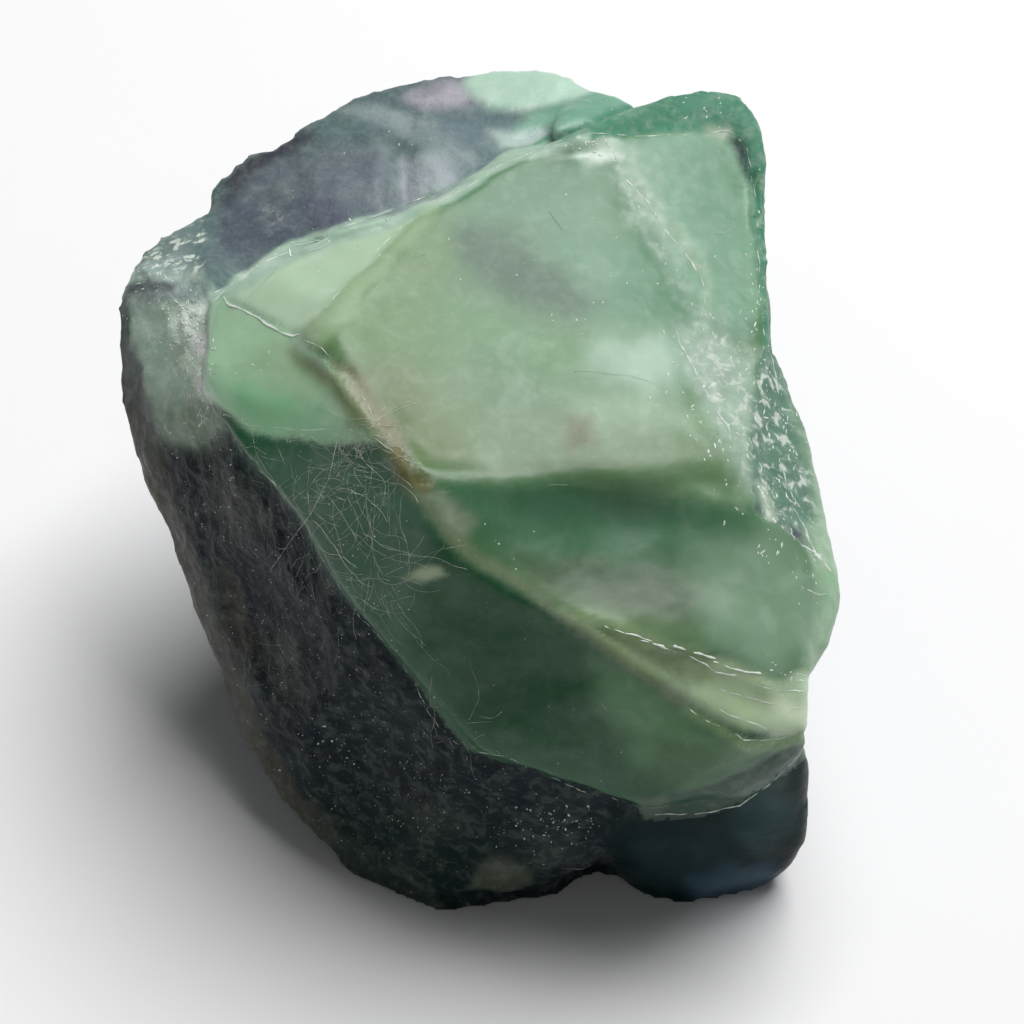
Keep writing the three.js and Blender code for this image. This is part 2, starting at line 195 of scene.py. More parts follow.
class Noise:
    """Smooth noise through space that is the same on every run."""

    def __init__(self, seed: int) -> None:
        """Draws the slopes of the noise.

        Args:
            seed: the number that they are drawn from.
        """
        draw = np.random.default_rng(seed)
        self.order = np.tile(draw.permutation(256), 3)
        slopes = draw.normal(size=(256, 3))
        self.slopes = slopes / np.linalg.norm(slopes, axis=1, keepdims=True)

    def lot(self, cells: np.ndarray) -> np.ndarray:
        """Gives every cell of space a number from 0 to 255.

        Args:
            cells: places in whole numbers, one row each.

        Returns:
            The number of each cell.
        """
        x, y, z = (cells.astype(int) % 256).T
        return self.order[self.order[self.order[x] + y] + z]

    def wave(self, points: np.ndarray, length: float) -> np.ndarray:
        """Reads one layer of noise.

        Args:
            points: the places to read, one row each.
            length: the size of its swells.

        Returns:
            A value of about -1 to 1 for each place.
        """
        place = points / length
        cell = np.floor(place)
        part = place - cell
        ease = part**3 * (part * (part * 6.0 - 15.0) + 10.0)
        total = np.zeros(len(points))
        for corner in np.ndindex(2, 2, 2):
            slope = self.slopes[self.lot(cell + corner)]
            share = np.prod(np.where(np.array(corner) == 1, ease, 1.0 - ease), axis=1)
            total += share * np.sum(slope * (part - corner), axis=1)
        return total * 1.6

    def cloud(self, points: np.ndarray, length: float, layers: int = 3, keep: float = 0.5) -> np.ndarray:
        """Adds up finer and finer layers of noise.

        Args:
            points: the places to read, one row each.
            length: the size of the broadest swells.
            layers: how many layers there are, each half the size of the last.
            keep: how strong a layer is beside the last one.

        Returns:
            A value of about -1 to 1 for each place.
        """
        total, whole = np.zeros(len(points)), 0.0
        for layer in range(layers):
            strength = keep**layer
            total += strength * self.wave(points + 31.7 * layer, length / 2**layer)
            whole += strength
        return total / whole

    def scars(self, points: np.ndarray, length: float) -> np.ndarray:
        """Reads shallow bowls that meet in sharp ridges, as the scars of small chips do.

        Args:
            points: the places to read, one row each.
            length: about how wide a bowl is.

        Returns:
            0 at the bottom of a bowl to about 1 on a ridge, for each place.
        """
        place = points / length
        cell = np.floor(place)
        nearest = np.full(len(points), 9.0)
        for corner in np.ndindex(3, 3, 3):
            beside = cell + np.array(corner) - 1.0
            middle = beside + 0.5 + 0.42 * self.slopes[self.lot(beside)]
            nearest = np.minimum(nearest, np.sum((place - middle) ** 2, axis=1))
        return np.clip(nearest, 0.0, 1.0)


@dataclass(frozen=True)
class Patch:
    """One stretch of the stone's front with a look of its own. What is None stays as it was there.

    The outline goes round it by how far across and up from the aim its corners show. Grain is how rough
    the break is, dust how much lies on it, frost how flaky and bruised its skin is, clear how far one sees
    into it, worn how pale its edges are, soft how rounded its form is, and level how near it lies to one
    smooth sheet, all from 0 to 1.
    """

    name: str
    outline: Outline
    colour: Colour | None = None
    feather: float = 0.4
    strength: float = 1.0
    grain: float | None = None
    dust: float | None = None
    frost: float | None = None
    clear: float | None = None
    worn: float | None = None
    soft: float | None = None
    level: float = 0.0

    def share(self, seen: np.ndarray) -> np.ndarray:
        """Tells how much of the patch each place gets.

        Args:
            seen: how far across and up each place shows, one row each.

        Returns:
            0 outside the patch and its strength inside, with a soft edge between.
        """
        corners = np.array(self.outline)
        gap = np.full(len(seen), np.inf)
        inside = np.zeros(len(seen), bool)
        for start, end in zip(corners, np.roll(corners, -1, axis=0)):
            edge = end - start
            along = np.clip((seen - start) @ edge / (edge @ edge), 0.0, 1.0)
            gap = np.minimum(gap, np.linalg.norm(seen - start - np.outer(along, edge), axis=1))
            if start[1] != end[1]:
                crosses = (start[1] > seen[:, 1]) != (end[1] > seen[:, 1])
                meet = start[0] + (seen[:, 1] - start[1]) / edge[1] * edge[0]
                inside ^= crosses & (seen[:, 0] < meet)
        return self.strength * rise(-self.feather, self.feather, np.where(inside, gap, -gap))


# The dark, dusty wall at the front left.
WALL = (
    Patch("dark wall",
          ((-33.0, 17.0), (-21.8, 5.8), (-13.4, -6.2), (-2.6, -19.4), (10.2, -23.5), (8.6, -31.0),
           (-5.8, -33.4), (-21.0, -25.4), (-33.0, 1.0)),
          (21, 33, 41), grain=1.0, dust=0.9, frost=0.15, clear=0.0, worn=0.35, soft=0.15),
    Patch("green wall foot",
          ((-21.0, -19.8), (-10.6, -23.0), (0.6, -27.0), (3.8, -30.2), (-5.8, -32.2), (-13.8, -29.4),
           (-19.4, -23.0)),
          (10, 35, 35), feather=2.0, grain=0.8),
    Patch("left edge",
          ((-32.3, 17.0), (-30.9, 17.0), (-30.1, 10.6), (-28.2, 5.0), (-26.2, -2.2), (-22.4, -11.8),
           (-20.0, -19.0), (-17.0, -23.0), (-13.4, -27.0), (-17.0, -27.0), (-23.0, -18.2),
           (-29.0, -3.8), (-32.6, 9.0)),
          (84, 83, 79), feather=0.9, grain=0.7, dust=0.4, worn=0.5),
    Patch("olive foot edge",
          ((-20.0, -20.6), (-17.0, -23.4), (-12.2, -27.0), (-6.6, -30.2), (-5.8, -32.2),
           (-13.8, -29.8), (-19.8, -24.6)),
          (60, 75, 67), feather=0.7, strength=0.7),
    Patch("left edge light",
          ((-30.9, 7.4), (-29.8, 4.8), (-28.2, -0.6), (-25.8, -7.0), (-23.0, -14.2), (-24.0, -15.0),
           (-26.9, -8.6), (-29.3, -1.4), (-30.6, 3.4)),
          (100, 96, 88), feather=0.5, strength=0.55),
    Patch("brown bevel",
          ((-22.1, -14.2), (-20.0, -18.9), (-17.0, -23.0), (-14.6, -26.1), (-16.0, -25.9),
           (-19.4, -22.2), (-21.8, -18.2)),
          (83, 80, 69), feather=0.5, strength=0.6),
    Patch("wall fluff",
          ((-24.6, 3.4), (-21.8, 2.6), (-20.0, -1.0), (-22.4, -2.6), (-24.3, 0.5)),
          (103, 103, 96), feather=1.6, strength=0.45),
    Patch("wall fluff left",
          ((-23.8, -3.8), (-21.9, -7.0), (-20.8, -11.5), (-22.4, -10.7)),
          (106, 99, 85), feather=1.0, strength=0.45),
    Patch("wall fluff middle",
          ((-20.6, -8.6), (-17.6, -10.2), (-16.8, -14.4), (-19.4, -15.2)),
          (87, 89, 83), feather=1.6, strength=0.4),
    Patch("wall fluff low",
          ((-10.6, -22.2), (-6.6, -23.0), (-3.4, -25.9), (-7.4, -26.7)),
          (71, 79, 73), feather=1.4, strength=0.4),
    Patch("tan chip",
          ((-3.4, -30.4), (-2.7, -28.3), (-1.6, -27.4), (-0.3, -27.7), (1.3, -28.8), (1.9, -29.8),
           (-0.2, -30.5)),
          (73, 80, 68), feather=0.35, grain=0.2, dust=0.3),
)

# The smooth dark foot at the right.
FOOT = (
    Patch("right foot",
          ((8.0, -24.0), (15.0, -23.7), (24.0, -18.6), (25.0, -23.0), (23.8, -30.2), (15.0, -32.6),
           (9.0, -31.0), (7.4, -27.0)),
          (8, 30, 34), feather=0.5, grain=0.15, dust=0.05, frost=0.0, worn=0.5, soft=0.45),
    # Lighter blurred spots on the smooth dark foot: painted reflections.
    Patch("foot painted reflection",
          ((18.4, -22.2), (22.2, -20.6), (23.0, -24.6), (19.8, -27.0), (17.8, -25.4)),
          (44, 78, 83), feather=1.5, strength=0.6),
    Patch("foot painted reflection low",
          ((10.2, -26.2), (16.6, -25.4), (18.2, -28.6), (13.4, -30.6), (10.2, -29.4)),
          (47, 74, 77), feather=1.6, strength=0.4),
    Patch("foot purple",
          ((14.2, -29.1), (20.6, -28.3), (21.4, -30.2), (15.0, -31.4)),
          (81, 108, 131), feather=1.2, strength=0.6),
)

# The glassy shoulder and knob at the left.
SHOULDER = (
    Patch("shoulder",
          ((-32.0, 17.8), (-30.7, 21.8), (-27.8, 22.9), (-23.8, 20.0), (-22.9, 17.8), (-24.5, 16.6),
           (-24.8, 9.9), (-23.7, 6.7), (-25.8, 5.0), (-28.2, 5.8), (-30.2, 10.6)),
          (176, 201, 183), feather=0.8, grain=0.75, dust=0.15, frost=0.55, clear=0.0, worn=0.9, soft=0.3),
    Patch("shoulder glints",
          ((-28.2, 16.6), (-25.3, 17.0), (-25.0, 13.8), (-24.2, 9.6), (-24.5, 7.7), (-25.8, 8.5),
           (-26.9, 11.7), (-27.8, 14.4)),
          (185, 204, 187), feather=0.8, frost=1.0),
    Patch("white crust",
          ((-27.0, 16.6), (-24.6, 17.0), (-24.8, 15.5), (-26.1, 15.2)),
          (239, 249, 243), feather=0.4, strength=0.8, frost=1.0),
    Patch("white crust middle",
          ((-26.2, 14.6), (-24.6, 14.2), (-24.5, 12.3), (-25.5, 12.8)),
          (250, 250, 250), feather=0.4, strength=0.85, frost=1.0),
    Patch("white crust low",
          ((-26.0, 11.2), (-24.5, 10.7), (-24.2, 8.8), (-25.4, 9.1)),
          (250, 250, 250), feather=0.4, strength=0.85, frost=1.0),
    Patch("white crust left",
          ((-27.8, 15.5), (-26.9, 15.8), (-26.4, 13.6), (-27.4, 13.8)),
          (224, 241, 231), feather=0.4, strength=0.6, frost=1.0),
    Patch("knob",
          ((-31.2, 19.4), (-30.6, 21.8), (-27.8, 22.7), (-24.6, 24.3), (-24.0, 20.0), (-27.8, 19.0)),
          (154, 172, 170), feather=0.8, frost=1.0, soft=0.25),
    Patch("shoulder shade",
          ((-30.7, 18.1), (-28.2, 18.9), (-24.6, 18.4), (-25.0, 17.1), (-28.2, 17.0), (-30.6, 16.5)),
          (148, 164, 166), feather=0.8),
    Patch("shoulder low",
          ((-30.7, 11.7), (-29.0, 9.0), (-24.5, 9.1), (-23.0, 6.4), (-25.3, 4.6), (-28.2, 5.6)),
          (127, 143, 123), feather=1.6, strength=0.8),
    Patch("knob white",
          ((-31.0, 20.6), (-29.8, 21.6), (-27.7, 22.6), (-27.0, 21.8), (-28.8, 20.3), (-30.6, 19.4)),
          (120, 136, 127), feather=0.5, strength=0.75, frost=1.0),
    Patch("knob gaps",
          ((-31.2, 18.2), (-29.0, 18.7), (-27.0, 18.4), (-27.2, 17.8), (-29.3, 17.6), (-31.2, 17.1)),
          (101, 109, 112), feather=0.35, strength=0.8),
    Patch("shoulder rim",
          ((-31.8, 17.6), (-31.2, 17.8), (-30.7, 13.8), (-29.3, 9.0), (-28.2, 5.8), (-29.0, 5.8),
           (-30.9, 9.6), (-31.8, 13.8)),
          (99, 102, 105), feather=0.5, strength=0.8, grain=0.9),
)

# The rough, purple-banded hump behind, with its mint end and green knob.
HUMP = (
    Patch("hump",
          ((-24.6, 24.3), (-23.7, 27.8), (-18.2, 30.7), (-9.8, 35.4), (-2.6, 36.3), (7.0, 35.0),
           (10.9, 32.2), (6.4, 30.4), (-1.0, 28.2), (-6.4, 25.0), (-17.8, 21.5), (-23.2, 17.9),
           (-24.5, 20.0)),
          (93, 112, 114), feather=0.35, grain=0.8, dust=0.1, frost=0.15, clear=0.0, worn=0.3, soft=0.4),
    Patch("hump end",
          ((-28.2, 22.4), (-23.8, 25.3), (-20.8, 23.8), (-21.4, 20.0), (-23.2, 17.8), (-25.3, 19.2)),
          (93, 115, 114), feather=2.2, strength=0.9),
    Patch("hump pale",
          ((-21.0, 29.0), (-16.2, 29.0), (-14.6, 25.0), (-17.8, 22.6), (-21.8, 23.4)),
          (105, 119, 118), feather=2.4, strength=0.7),
    Patch("hump purple",
          ((-9.4, 24.6), (-8.6, 28.2), (-5.8, 29.4), (-3.4, 28.2), (-3.5, 26.2), (-6.6, 24.6)),
          (159, 168, 174), feather=1.4, strength=0.9),
    Patch("hump purple left",
          ((-15.4, 28.2), (-10.6, 29.0), (-9.8, 25.0), (-14.6, 23.2)),
          (153, 163, 169), feather=2.2, strength=0.8),
    Patch("hump purple top",
          ((-8.6, 33.6), (-6.4, 34.6), (-3.4, 34.6), (-2.1, 33.1), (-4.0, 32.2), (-7.4, 32.5)),
          (170, 165, 177), feather=0.9),
    Patch("hump dark",
          ((-10.6, 31.5), (-3.4, 32.0), (2.2, 30.7), (3.8, 30.4), (-1.0, 28.0), (-3.5, 27.2),
           (-5.8, 29.3)),
          (111, 128, 134), feather=1.0, strength=0.9),
    Patch("hump slate",
          ((-24.0, 21.0), (-23.0, 26.2), (-17.0, 29.3), (-10.9, 29.0), (-9.3, 24.0), (-17.0, 21.8),
           (-21.8, 19.5)),
          (97, 106, 116), feather=1.2, strength=0.75),
    Patch("hump crest",
          ((-23.8, 26.7), (-21.0, 29.1), (-17.0, 31.0), (-16.0, 29.9), (-20.0, 27.5), (-22.6, 25.0)),
          (66, 68, 76), feather=0.8, strength=1.0),
    Patch("hump vein",
          ((-14.6, 32.8), (-10.6, 33.0), (-6.1, 31.2), (-3.0, 28.3), (-4.8, 27.4), (-8.0, 29.8),
           (-11.7, 31.4)),
          (141, 155, 157), feather=0.6, strength=0.9),
    Patch("hump purple streak",
          ((-17.0, 24.5), (-14.6, 26.7), (-12.8, 22.1), (-15.2, 21.1)),
          (95, 99, 115), feather=1.0, strength=0.8),
    Patch("hump crust",
          ((-20.3, 24.6), (-18.2, 25.1), (-17.9, 23.0), (-19.4, 22.7)),
          (144, 150, 155), feather=0.5, strength=0.6, frost=0.7),
    Patch("hump crust left",
          ((-24.7, 24.9), (-23.2, 25.4), (-22.9, 24.5), (-24.3, 24.0)),
          (102, 113, 113), feather=0.35, strength=0.7, frost=0.7),
    Patch("hump streak",
          ((-9.1, 28.5), (-8.5, 28.6), (-8.2, 25.3), (-8.8, 25.0)),
          (177, 180, 191), feather=0.35, strength=0.55),
    Patch("hump streak left",
          ((-11.2, 26.9), (-10.7, 27.0), (-10.2, 23.8), (-10.9, 23.7)),
          (155, 163, 170), feather=0.35, strength=0.45),
    Patch("hump streak right",
          ((-7.4, 28.8), (-5.8, 29.0), (-4.5, 26.9), (-5.9, 26.2)),
          (171, 181, 186), feather=0.5, strength=0.5),
    Patch("hump shadow",
          ((-22.9, 24.5), (-20.0, 25.8), (-17.0, 25.3), (-17.3, 21.8), (-21.0, 20.3), (-22.9, 21.4)),
          (69, 76, 91), feather=1.4, strength=0.5),
    Patch("mint top",
          ((-4.0, 34.2), (-2.6, 36.2), (2.6, 36.3), (5.3, 35.5), (6.6, 33.8), (5.0, 32.5),
           (1.4, 32.0), (-1.9, 32.3)),
          (181, 211, 193), feather=0.6, grain=0.3, dust=0.0, clear=1.0, worn=0.4, soft=0.35),
    Patch("green knob",
          ((1.4, 31.8), (5.0, 32.6), (6.7, 34.1), (11.0, 32.3), (7.0, 30.6), (2.6, 30.4),
           (-1.0, 29.8)),
          (122, 169, 148), feather=0.6, grain=0.3, dust=0.0, clear=1.0, worn=0.8),
    Patch("knob light",
          ((-1.9, 30.7), (1.4, 30.4), (3.8, 30.7), (2.2, 29.6), (-1.0, 29.0)),
          (171, 190, 185), feather=0.5),
)

# The pale crown and the bevel round its back.
CROWN = (
    Patch("bevel",
          ((-1.0, 28.3), (3.8, 30.4), (10.2, 33.0), (13.4, 34.6), (19.0, 34.2), (21.0, 31.8),
           (21.4, 21.0), (21.6, 13.0), (20.0, 13.0), (20.2, 20.2), (19.5, 25.6), (18.7, 29.3),
           (17.1, 30.5), (11.2, 29.9), (6.1, 29.9)),
          (77, 136, 110), feather=0.3, grain=0.35, dust=0.1, frost=0.3, clear=0.0, worn=0.9, soft=0.3),
    Patch("crown",
          ((-17.0, 14.2), (-6.6, 24.6), (-1.0, 27.8), (6.2, 30.0), (17.3, 30.5), (19.4, 25.8),
           (20.2, 17.0), (20.5, 9.0), (19.2, 0.2), (7.0, 1.9), (-6.6, 2.6), (-10.2, 6.6),
           (-13.4, 11.2)),
          (90, 129, 90), feather=0.35, grain=0.0, dust=0.05, frost=0.1, clear=1.0, worn=0.08, soft=0.1),
    Patch("crown olive",
          ((-17.0, 14.2), (-6.6, 24.6), (-4.6, 21.8), (-5.8, 15.4), (-3.4, 9.0), (0.6, 2.4),
           (-6.6, 2.6), (-10.2, 6.6), (-13.4, 11.2)),
          (95, 133, 80), feather=2.4),
    Patch("crown ochre",
          ((-13.4, 11.2), (-9.0, 12.2), (-5.0, 7.4), (-1.0, 2.4), (-6.6, 2.4), (-10.2, 6.6)),
          (93, 109, 55), feather=1.6, strength=0.7),
    Patch("crown green",
          ((-6.6, 24.2), (6.2, 29.8), (10.2, 21.8), (14.2, 14.6), (7.0, 15.4), (0.6, 21.8)),
          (93, 140, 106), feather=2.4),
    Patch("crown deep green",
          ((3.8, 21.8), (11.0, 21.0), (14.1, 14.6), (10.2, 13.0), (5.8, 16.2)),
          (88, 138, 105), feather=1.8),
    Patch("crown blotch",
          ((-4.8, 22.4), (-1.0, 22.7), (3.2, 20.0), (6.7, 16.3), (3.8, 15.5), (-1.0, 17.3),
           (-4.0, 19.5)),
          (51, 96, 68), feather=1.5),
    Patch("crown pale band",
          ((-5.0, 17.0), (3.8, 14.2), (11.0, 14.6), (14.2, 11.2), (3.8, 10.2), (-5.0, 13.4)),
          (91, 140, 93), feather=2.2, soft=0.3),
    Patch("crown veil",
          ((7.0, 13.6), (14.2, 14.6), (15.4, 10.6), (10.2, 9.1), (6.7, 11.0)),
          (155, 186, 163), feather=1.8, soft=0.3),
    Patch("crown low",
          ((-3.4, 7.4), (7.0, 8.2), (18.2, 6.6), (19.0, 1.8), (7.0, 2.7), (-2.6, 3.0)),
          (101, 132, 93), feather=1.8, soft=0.3),
    Patch("crown low veil",
          ((3.8, 9.4), (18.2, 8.2), (18.2, 5.8), (5.4, 7.0)),
          (137, 169, 136), feather=1.4, strength=0.7),
    Patch("crown spot",
          ((4.3, 7.0), (6.4, 7.5), (6.9, 5.1), (4.8, 4.6)),
          (80, 80, 34), feather=0.9, strength=0.8),
    # Lighter and bluer beyond the crack: partly its own tone, partly painted light for the face's slight tilt
    # towards the light, which the levelled crown lacks.
    Patch("crown right",
          ((7.2, 29.8), (17.3, 30.5), (19.4, 25.8), (20.2, 17.0), (18.4, 14.4), (14.6, 14.4),
           (10.6, 22.1)),
          (134, 172, 147), feather=0.5, frost=0.25),
    Patch("crown right veil",
          ((16.6, 29.0), (19.2, 26.6), (20.0, 17.0), (18.6, 16.2), (18.1, 23.4)),
          (122, 164, 134), feather=0.9),
    Patch("crown crack",
          ((6.7, 29.6), (8.0, 29.6), (10.2, 25.0), (11.8, 21.4), (14.6, 16.5), (16.8, 14.6),
           (19.2, 15.5), (19.4, 14.2), (16.3, 12.5), (13.8, 14.6), (11.0, 20.0), (8.8, 24.0)),
          (122, 156, 132), feather=0.7, strength=0.8, frost=0.6, worn=0.7, soft=0.1),
    Patch("crown white patch",
          ((5.0, 29.6), (8.0, 29.8), (8.5, 28.3), (6.2, 27.8), (5.0, 28.6)),
          (206, 225, 210), feather=0.6, frost=0.8),
    Patch("crown streaks",
          ((13.1, 14.6), (16.6, 14.2), (20.0, 12.2), (19.7, 2.6), (18.6, 1.3), (16.3, 5.8),
           (14.2, 9.8)),
          (171, 193, 177), feather=1.2, strength=0.8, grain=0.35, frost=1.0),
    Patch("crown tan",
          ((15.5, 30.9), (17.4, 30.9), (17.9, 29.9), (16.8, 29.4), (15.5, 30.2)),
          (156, 176, 150), feather=0.4, strength=0.8, worn=0.5),
    Patch("crown heart",
          ((-16.5, 13.9), (-6.5, 24.2), (-1.0, 27.5), (6.4, 29.7), (17.3, 30.3), (19.6, 25.8),
           (20.3, 17.0), (20.3, 9.0), (19.2, 3.4), (7.0, 3.4), (-5.8, 3.8), (-9.8, 6.6),
           (-13.3, 11.4)),
          feather=0.9, soft=0.5, level=0.95),
    # Painted light: lifts the strip at the crown's left, which faces away from the light and shades darker.
    Patch("crown left slope painted light",
          ((-16.6, 14.1), (-6.6, 24.3), (-4.0, 24.6), (-5.8, 21.8), (-10.6, 17.0), (-12.8, 12.8),
           (-14.6, 12.8)),
          (123, 153, 111), feather=0.7, strength=0.3),
    Patch("crack line",
          ((7.0, 29.8), (8.0, 29.8), (9.8, 26.9), (11.7, 24.3), (14.6, 20.6), (15.8, 18.9),
           (15.7, 14.2), (14.8, 14.2), (14.8, 18.4), (13.3, 20.3), (10.4, 24.0), (8.6, 26.4)),
          (155, 183, 155), feather=0.35, strength=0.6, frost=0.7),
    Patch("crown lip",
          ((-7.0, 3.4), (7.0, 2.7), (19.0, 1.0), (19.5, -0.3), (7.0, 1.3), (-6.6, 1.9)),
          (111, 141, 103), feather=0.8, strength=0.5, worn=0.0, soft=0.6),
    Patch("lip shade",
          ((-7.0, 4.2), (0.6, 3.8), (7.0, 4.1), (10.2, 4.0), (7.0, 3.0), (0.6, 2.7), (-6.7, 3.0)),
          (92, 118, 82), feather=0.5, strength=0.6, worn=0.0),
)

# The pale tip at the crown's left, its rim, and the green facet under it.
CORNER = (
    Patch("tip",
          ((-23.2, 17.6), (-17.8, 20.8), (-9.1, 23.8), (-6.6, 24.4), (-17.0, 14.1)),
          (182, 208, 179), feather=0.35, grain=0.0, dust=0.0, frost=0.1, clear=1.0, worn=0.9, soft=0.0),
    Patch("rim",
          ((-23.7, 17.6), (-17.8, 21.8), (-6.1, 25.3), (-1.0, 28.3), (6.2, 30.5), (6.2, 29.8),
           (-0.6, 27.5), (-6.1, 24.0), (-17.0, 20.5), (-22.7, 17.1)),
          (168, 195, 176), feather=0.35, grain=0.1, frost=0.5, clear=1.0, worn=1.0),
    Patch("facet",
          ((-24.3, 16.8), (-23.2, 17.5), (-17.0, 14.1), (-13.4, 11.1), (-10.1, 6.4), (-9.8, 5.3),
           (-14.6, 5.4), (-21.0, 6.4), (-24.8, 9.6)),
          (181, 222, 184), feather=0.35, grain=0.05, dust=0.1, frost=0.1, clear=1.0, worn=0.5, soft=0.1),
    Patch("facet deep",
          ((-23.8, 10.6), (-17.0, 9.0), (-13.8, 7.4), (-14.6, 5.6), (-21.0, 6.6)),
          (154, 215, 166), feather=1.2),
    Patch("facet veil",
          ((-20.3, 13.9), (-17.0, 13.4), (-14.6, 10.9), (-17.0, 9.3), (-20.0, 11.2)),
          (180, 215, 169), feather=1.2, strength=0.55),
    Patch("facet rust",
          ((-17.8, 12.8), (-13.8, 11.0), (-10.1, 6.6), (-10.2, 5.4), (-13.0, 7.4), (-14.6, 9.6)),
          (110, 114, 68), feather=0.9, strength=0.85),
    Patch("tip border",
          ((-17.0, 14.4), (-6.7, 24.6), (-5.8, 24.0), (-10.1, 19.2), (-13.3, 15.5), (-15.4, 13.1)),
          (170, 194, 158), feather=0.6, strength=0.6, soft=0.85),
    Patch("crown corner",
          ((-17.0, 14.6), (-15.5, 14.1), (-12.5, 11.4), (-9.0, 6.6), (-10.2, 5.9), (-14.1, 10.6)),
          feather=0.6, soft=0.75),
    Patch("corner rust",
          ((-14.4, 12.0), (-13.0, 11.8), (-11.0, 9.1), (-9.1, 6.4), (-8.2, 4.5), (-9.3, 3.8),
           (-11.0, 6.6), (-13.0, 9.3)),
          (118, 112, 76), feather=0.5, strength=0.75, worn=0.0),
)

# The green band under the crown, with the bulge and the strip at its right.
BAND = (
    Patch("band",
          ((-7.4, 2.1), (-6.6, 2.6), (7.0, 2.0), (19.0, 0.2), (23.0, -2.2), (26.1, -7.0),
           (25.1, -11.8), (20.8, -15.0), (14.2, -11.7), (7.0, -9.4), (-2.2, -5.0), (-6.4, -1.0)),
          (70, 109, 72), feather=0.3, grain=0.0, dust=0.05, frost=0.05, clear=1.0, worn=0.1, soft=0.4),
    Patch("band shade",
          ((-5.8, 2.2), (7.0, 1.8), (18.6, -0.2), (19.2, -3.0), (8.6, -4.3), (-1.0, -2.9),
           (-4.5, -0.6)),
          (74, 121, 88), feather=1.8),
    Patch("band heart",
          ((-2.9, -0.3), (7.0, -1.0), (18.2, -2.9), (23.0, -7.0), (23.2, -11.0), (20.0, -13.8),
           (14.2, -10.6), (7.0, -8.0), (-0.2, -4.0)),
          feather=1.2, soft=0.5, level=0.8),
    Patch("band light",
          ((-1.0, -5.0), (3.8, -5.4), (11.8, -7.0), (16.6, -10.2), (14.2, -11.8), (7.0, -9.3)),
          (102, 134, 91), feather=1.5),
    Patch("band middle",
          ((0.3, -3.8), (7.0, -4.2), (16.2, -6.1), (16.3, -8.5), (9.4, -8.3), (2.6, -6.7)),
          (50, 82, 44), feather=1.1, strength=0.85),
    Patch("band right",
          ((14.2, -2.2), (20.6, -1.4), (25.1, -6.2), (24.6, -10.2), (20.6, -14.2), (15.8, -11.0)),
          (124, 156, 128), feather=1.8),
    Patch("band left veil",
          ((-8.0, 1.9), (-5.4, 1.6), (-3.0, -0.8), (-4.0, -2.7), (-6.1, -1.0)),
          (144, 156, 132), feather=0.8, strength=0.8, frost=0.3),
    Patch("bulge rim",
          ((21.9, 10.6), (24.0, 5.8), (27.0, -6.2), (26.9, -8.6), (24.8, -13.1), (23.5, -11.8),
           (24.5, -7.0), (23.2, 1.0)),
          (146, 181, 148), feather=0.9, grain=0.1, frost=0.45, clear=1.0, worn=0.3, soft=0.35),
    Patch("right strip",
          ((20.2, 13.1), (21.8, 11.7), (24.0, 3.4), (24.3, -0.6), (22.4, -1.4), (20.2, -0.6),
           (19.2, 1.0), (19.5, 9.0)),
          (101, 135, 117), feather=0.6, grain=0.5, frost=0.85, clear=0.0, worn=1.0),
    Patch("right glint",
          ((19.5, 2.6), (20.5, 2.2), (21.4, -0.5), (20.5, -0.8)),
          (170, 188, 168), feather=0.35, frost=1.0),
    Patch("pale foot",
          ((13.4, -12.2), (17.4, -11.8), (21.4, -13.8), (24.5, -13.1), (24.2, -17.3), (21.0, -18.1),
           (17.2, -17.0), (13.9, -15.0)),
          (187, 211, 170), feather=0.6, grain=0.05, dust=0.05, frost=0.3, clear=1.0, worn=0.6, soft=0.2),
    Patch("pale foot glints",
          ((20.6, -15.0), (24.0, -14.4), (23.7, -16.8), (21.1, -16.6)),
          (219, 235, 204), feather=0.6, frost=0.7),
    Patch("pale foot heart",
          ((14.2, -12.2), (17.3, -12.5), (21.9, -15.4), (22.2, -17.0), (18.6, -17.4), (15.5, -15.0)),
          feather=0.8, soft=0.4, level=0.7),
    Patch("notch beside the foot",
          ((20.2, -14.1), (23.0, -12.8), (25.4, -12.2), (25.0, -15.0), (22.2, -15.4)),
          (189, 218, 181), feather=0.6, grain=0.1, clear=1.0),
)

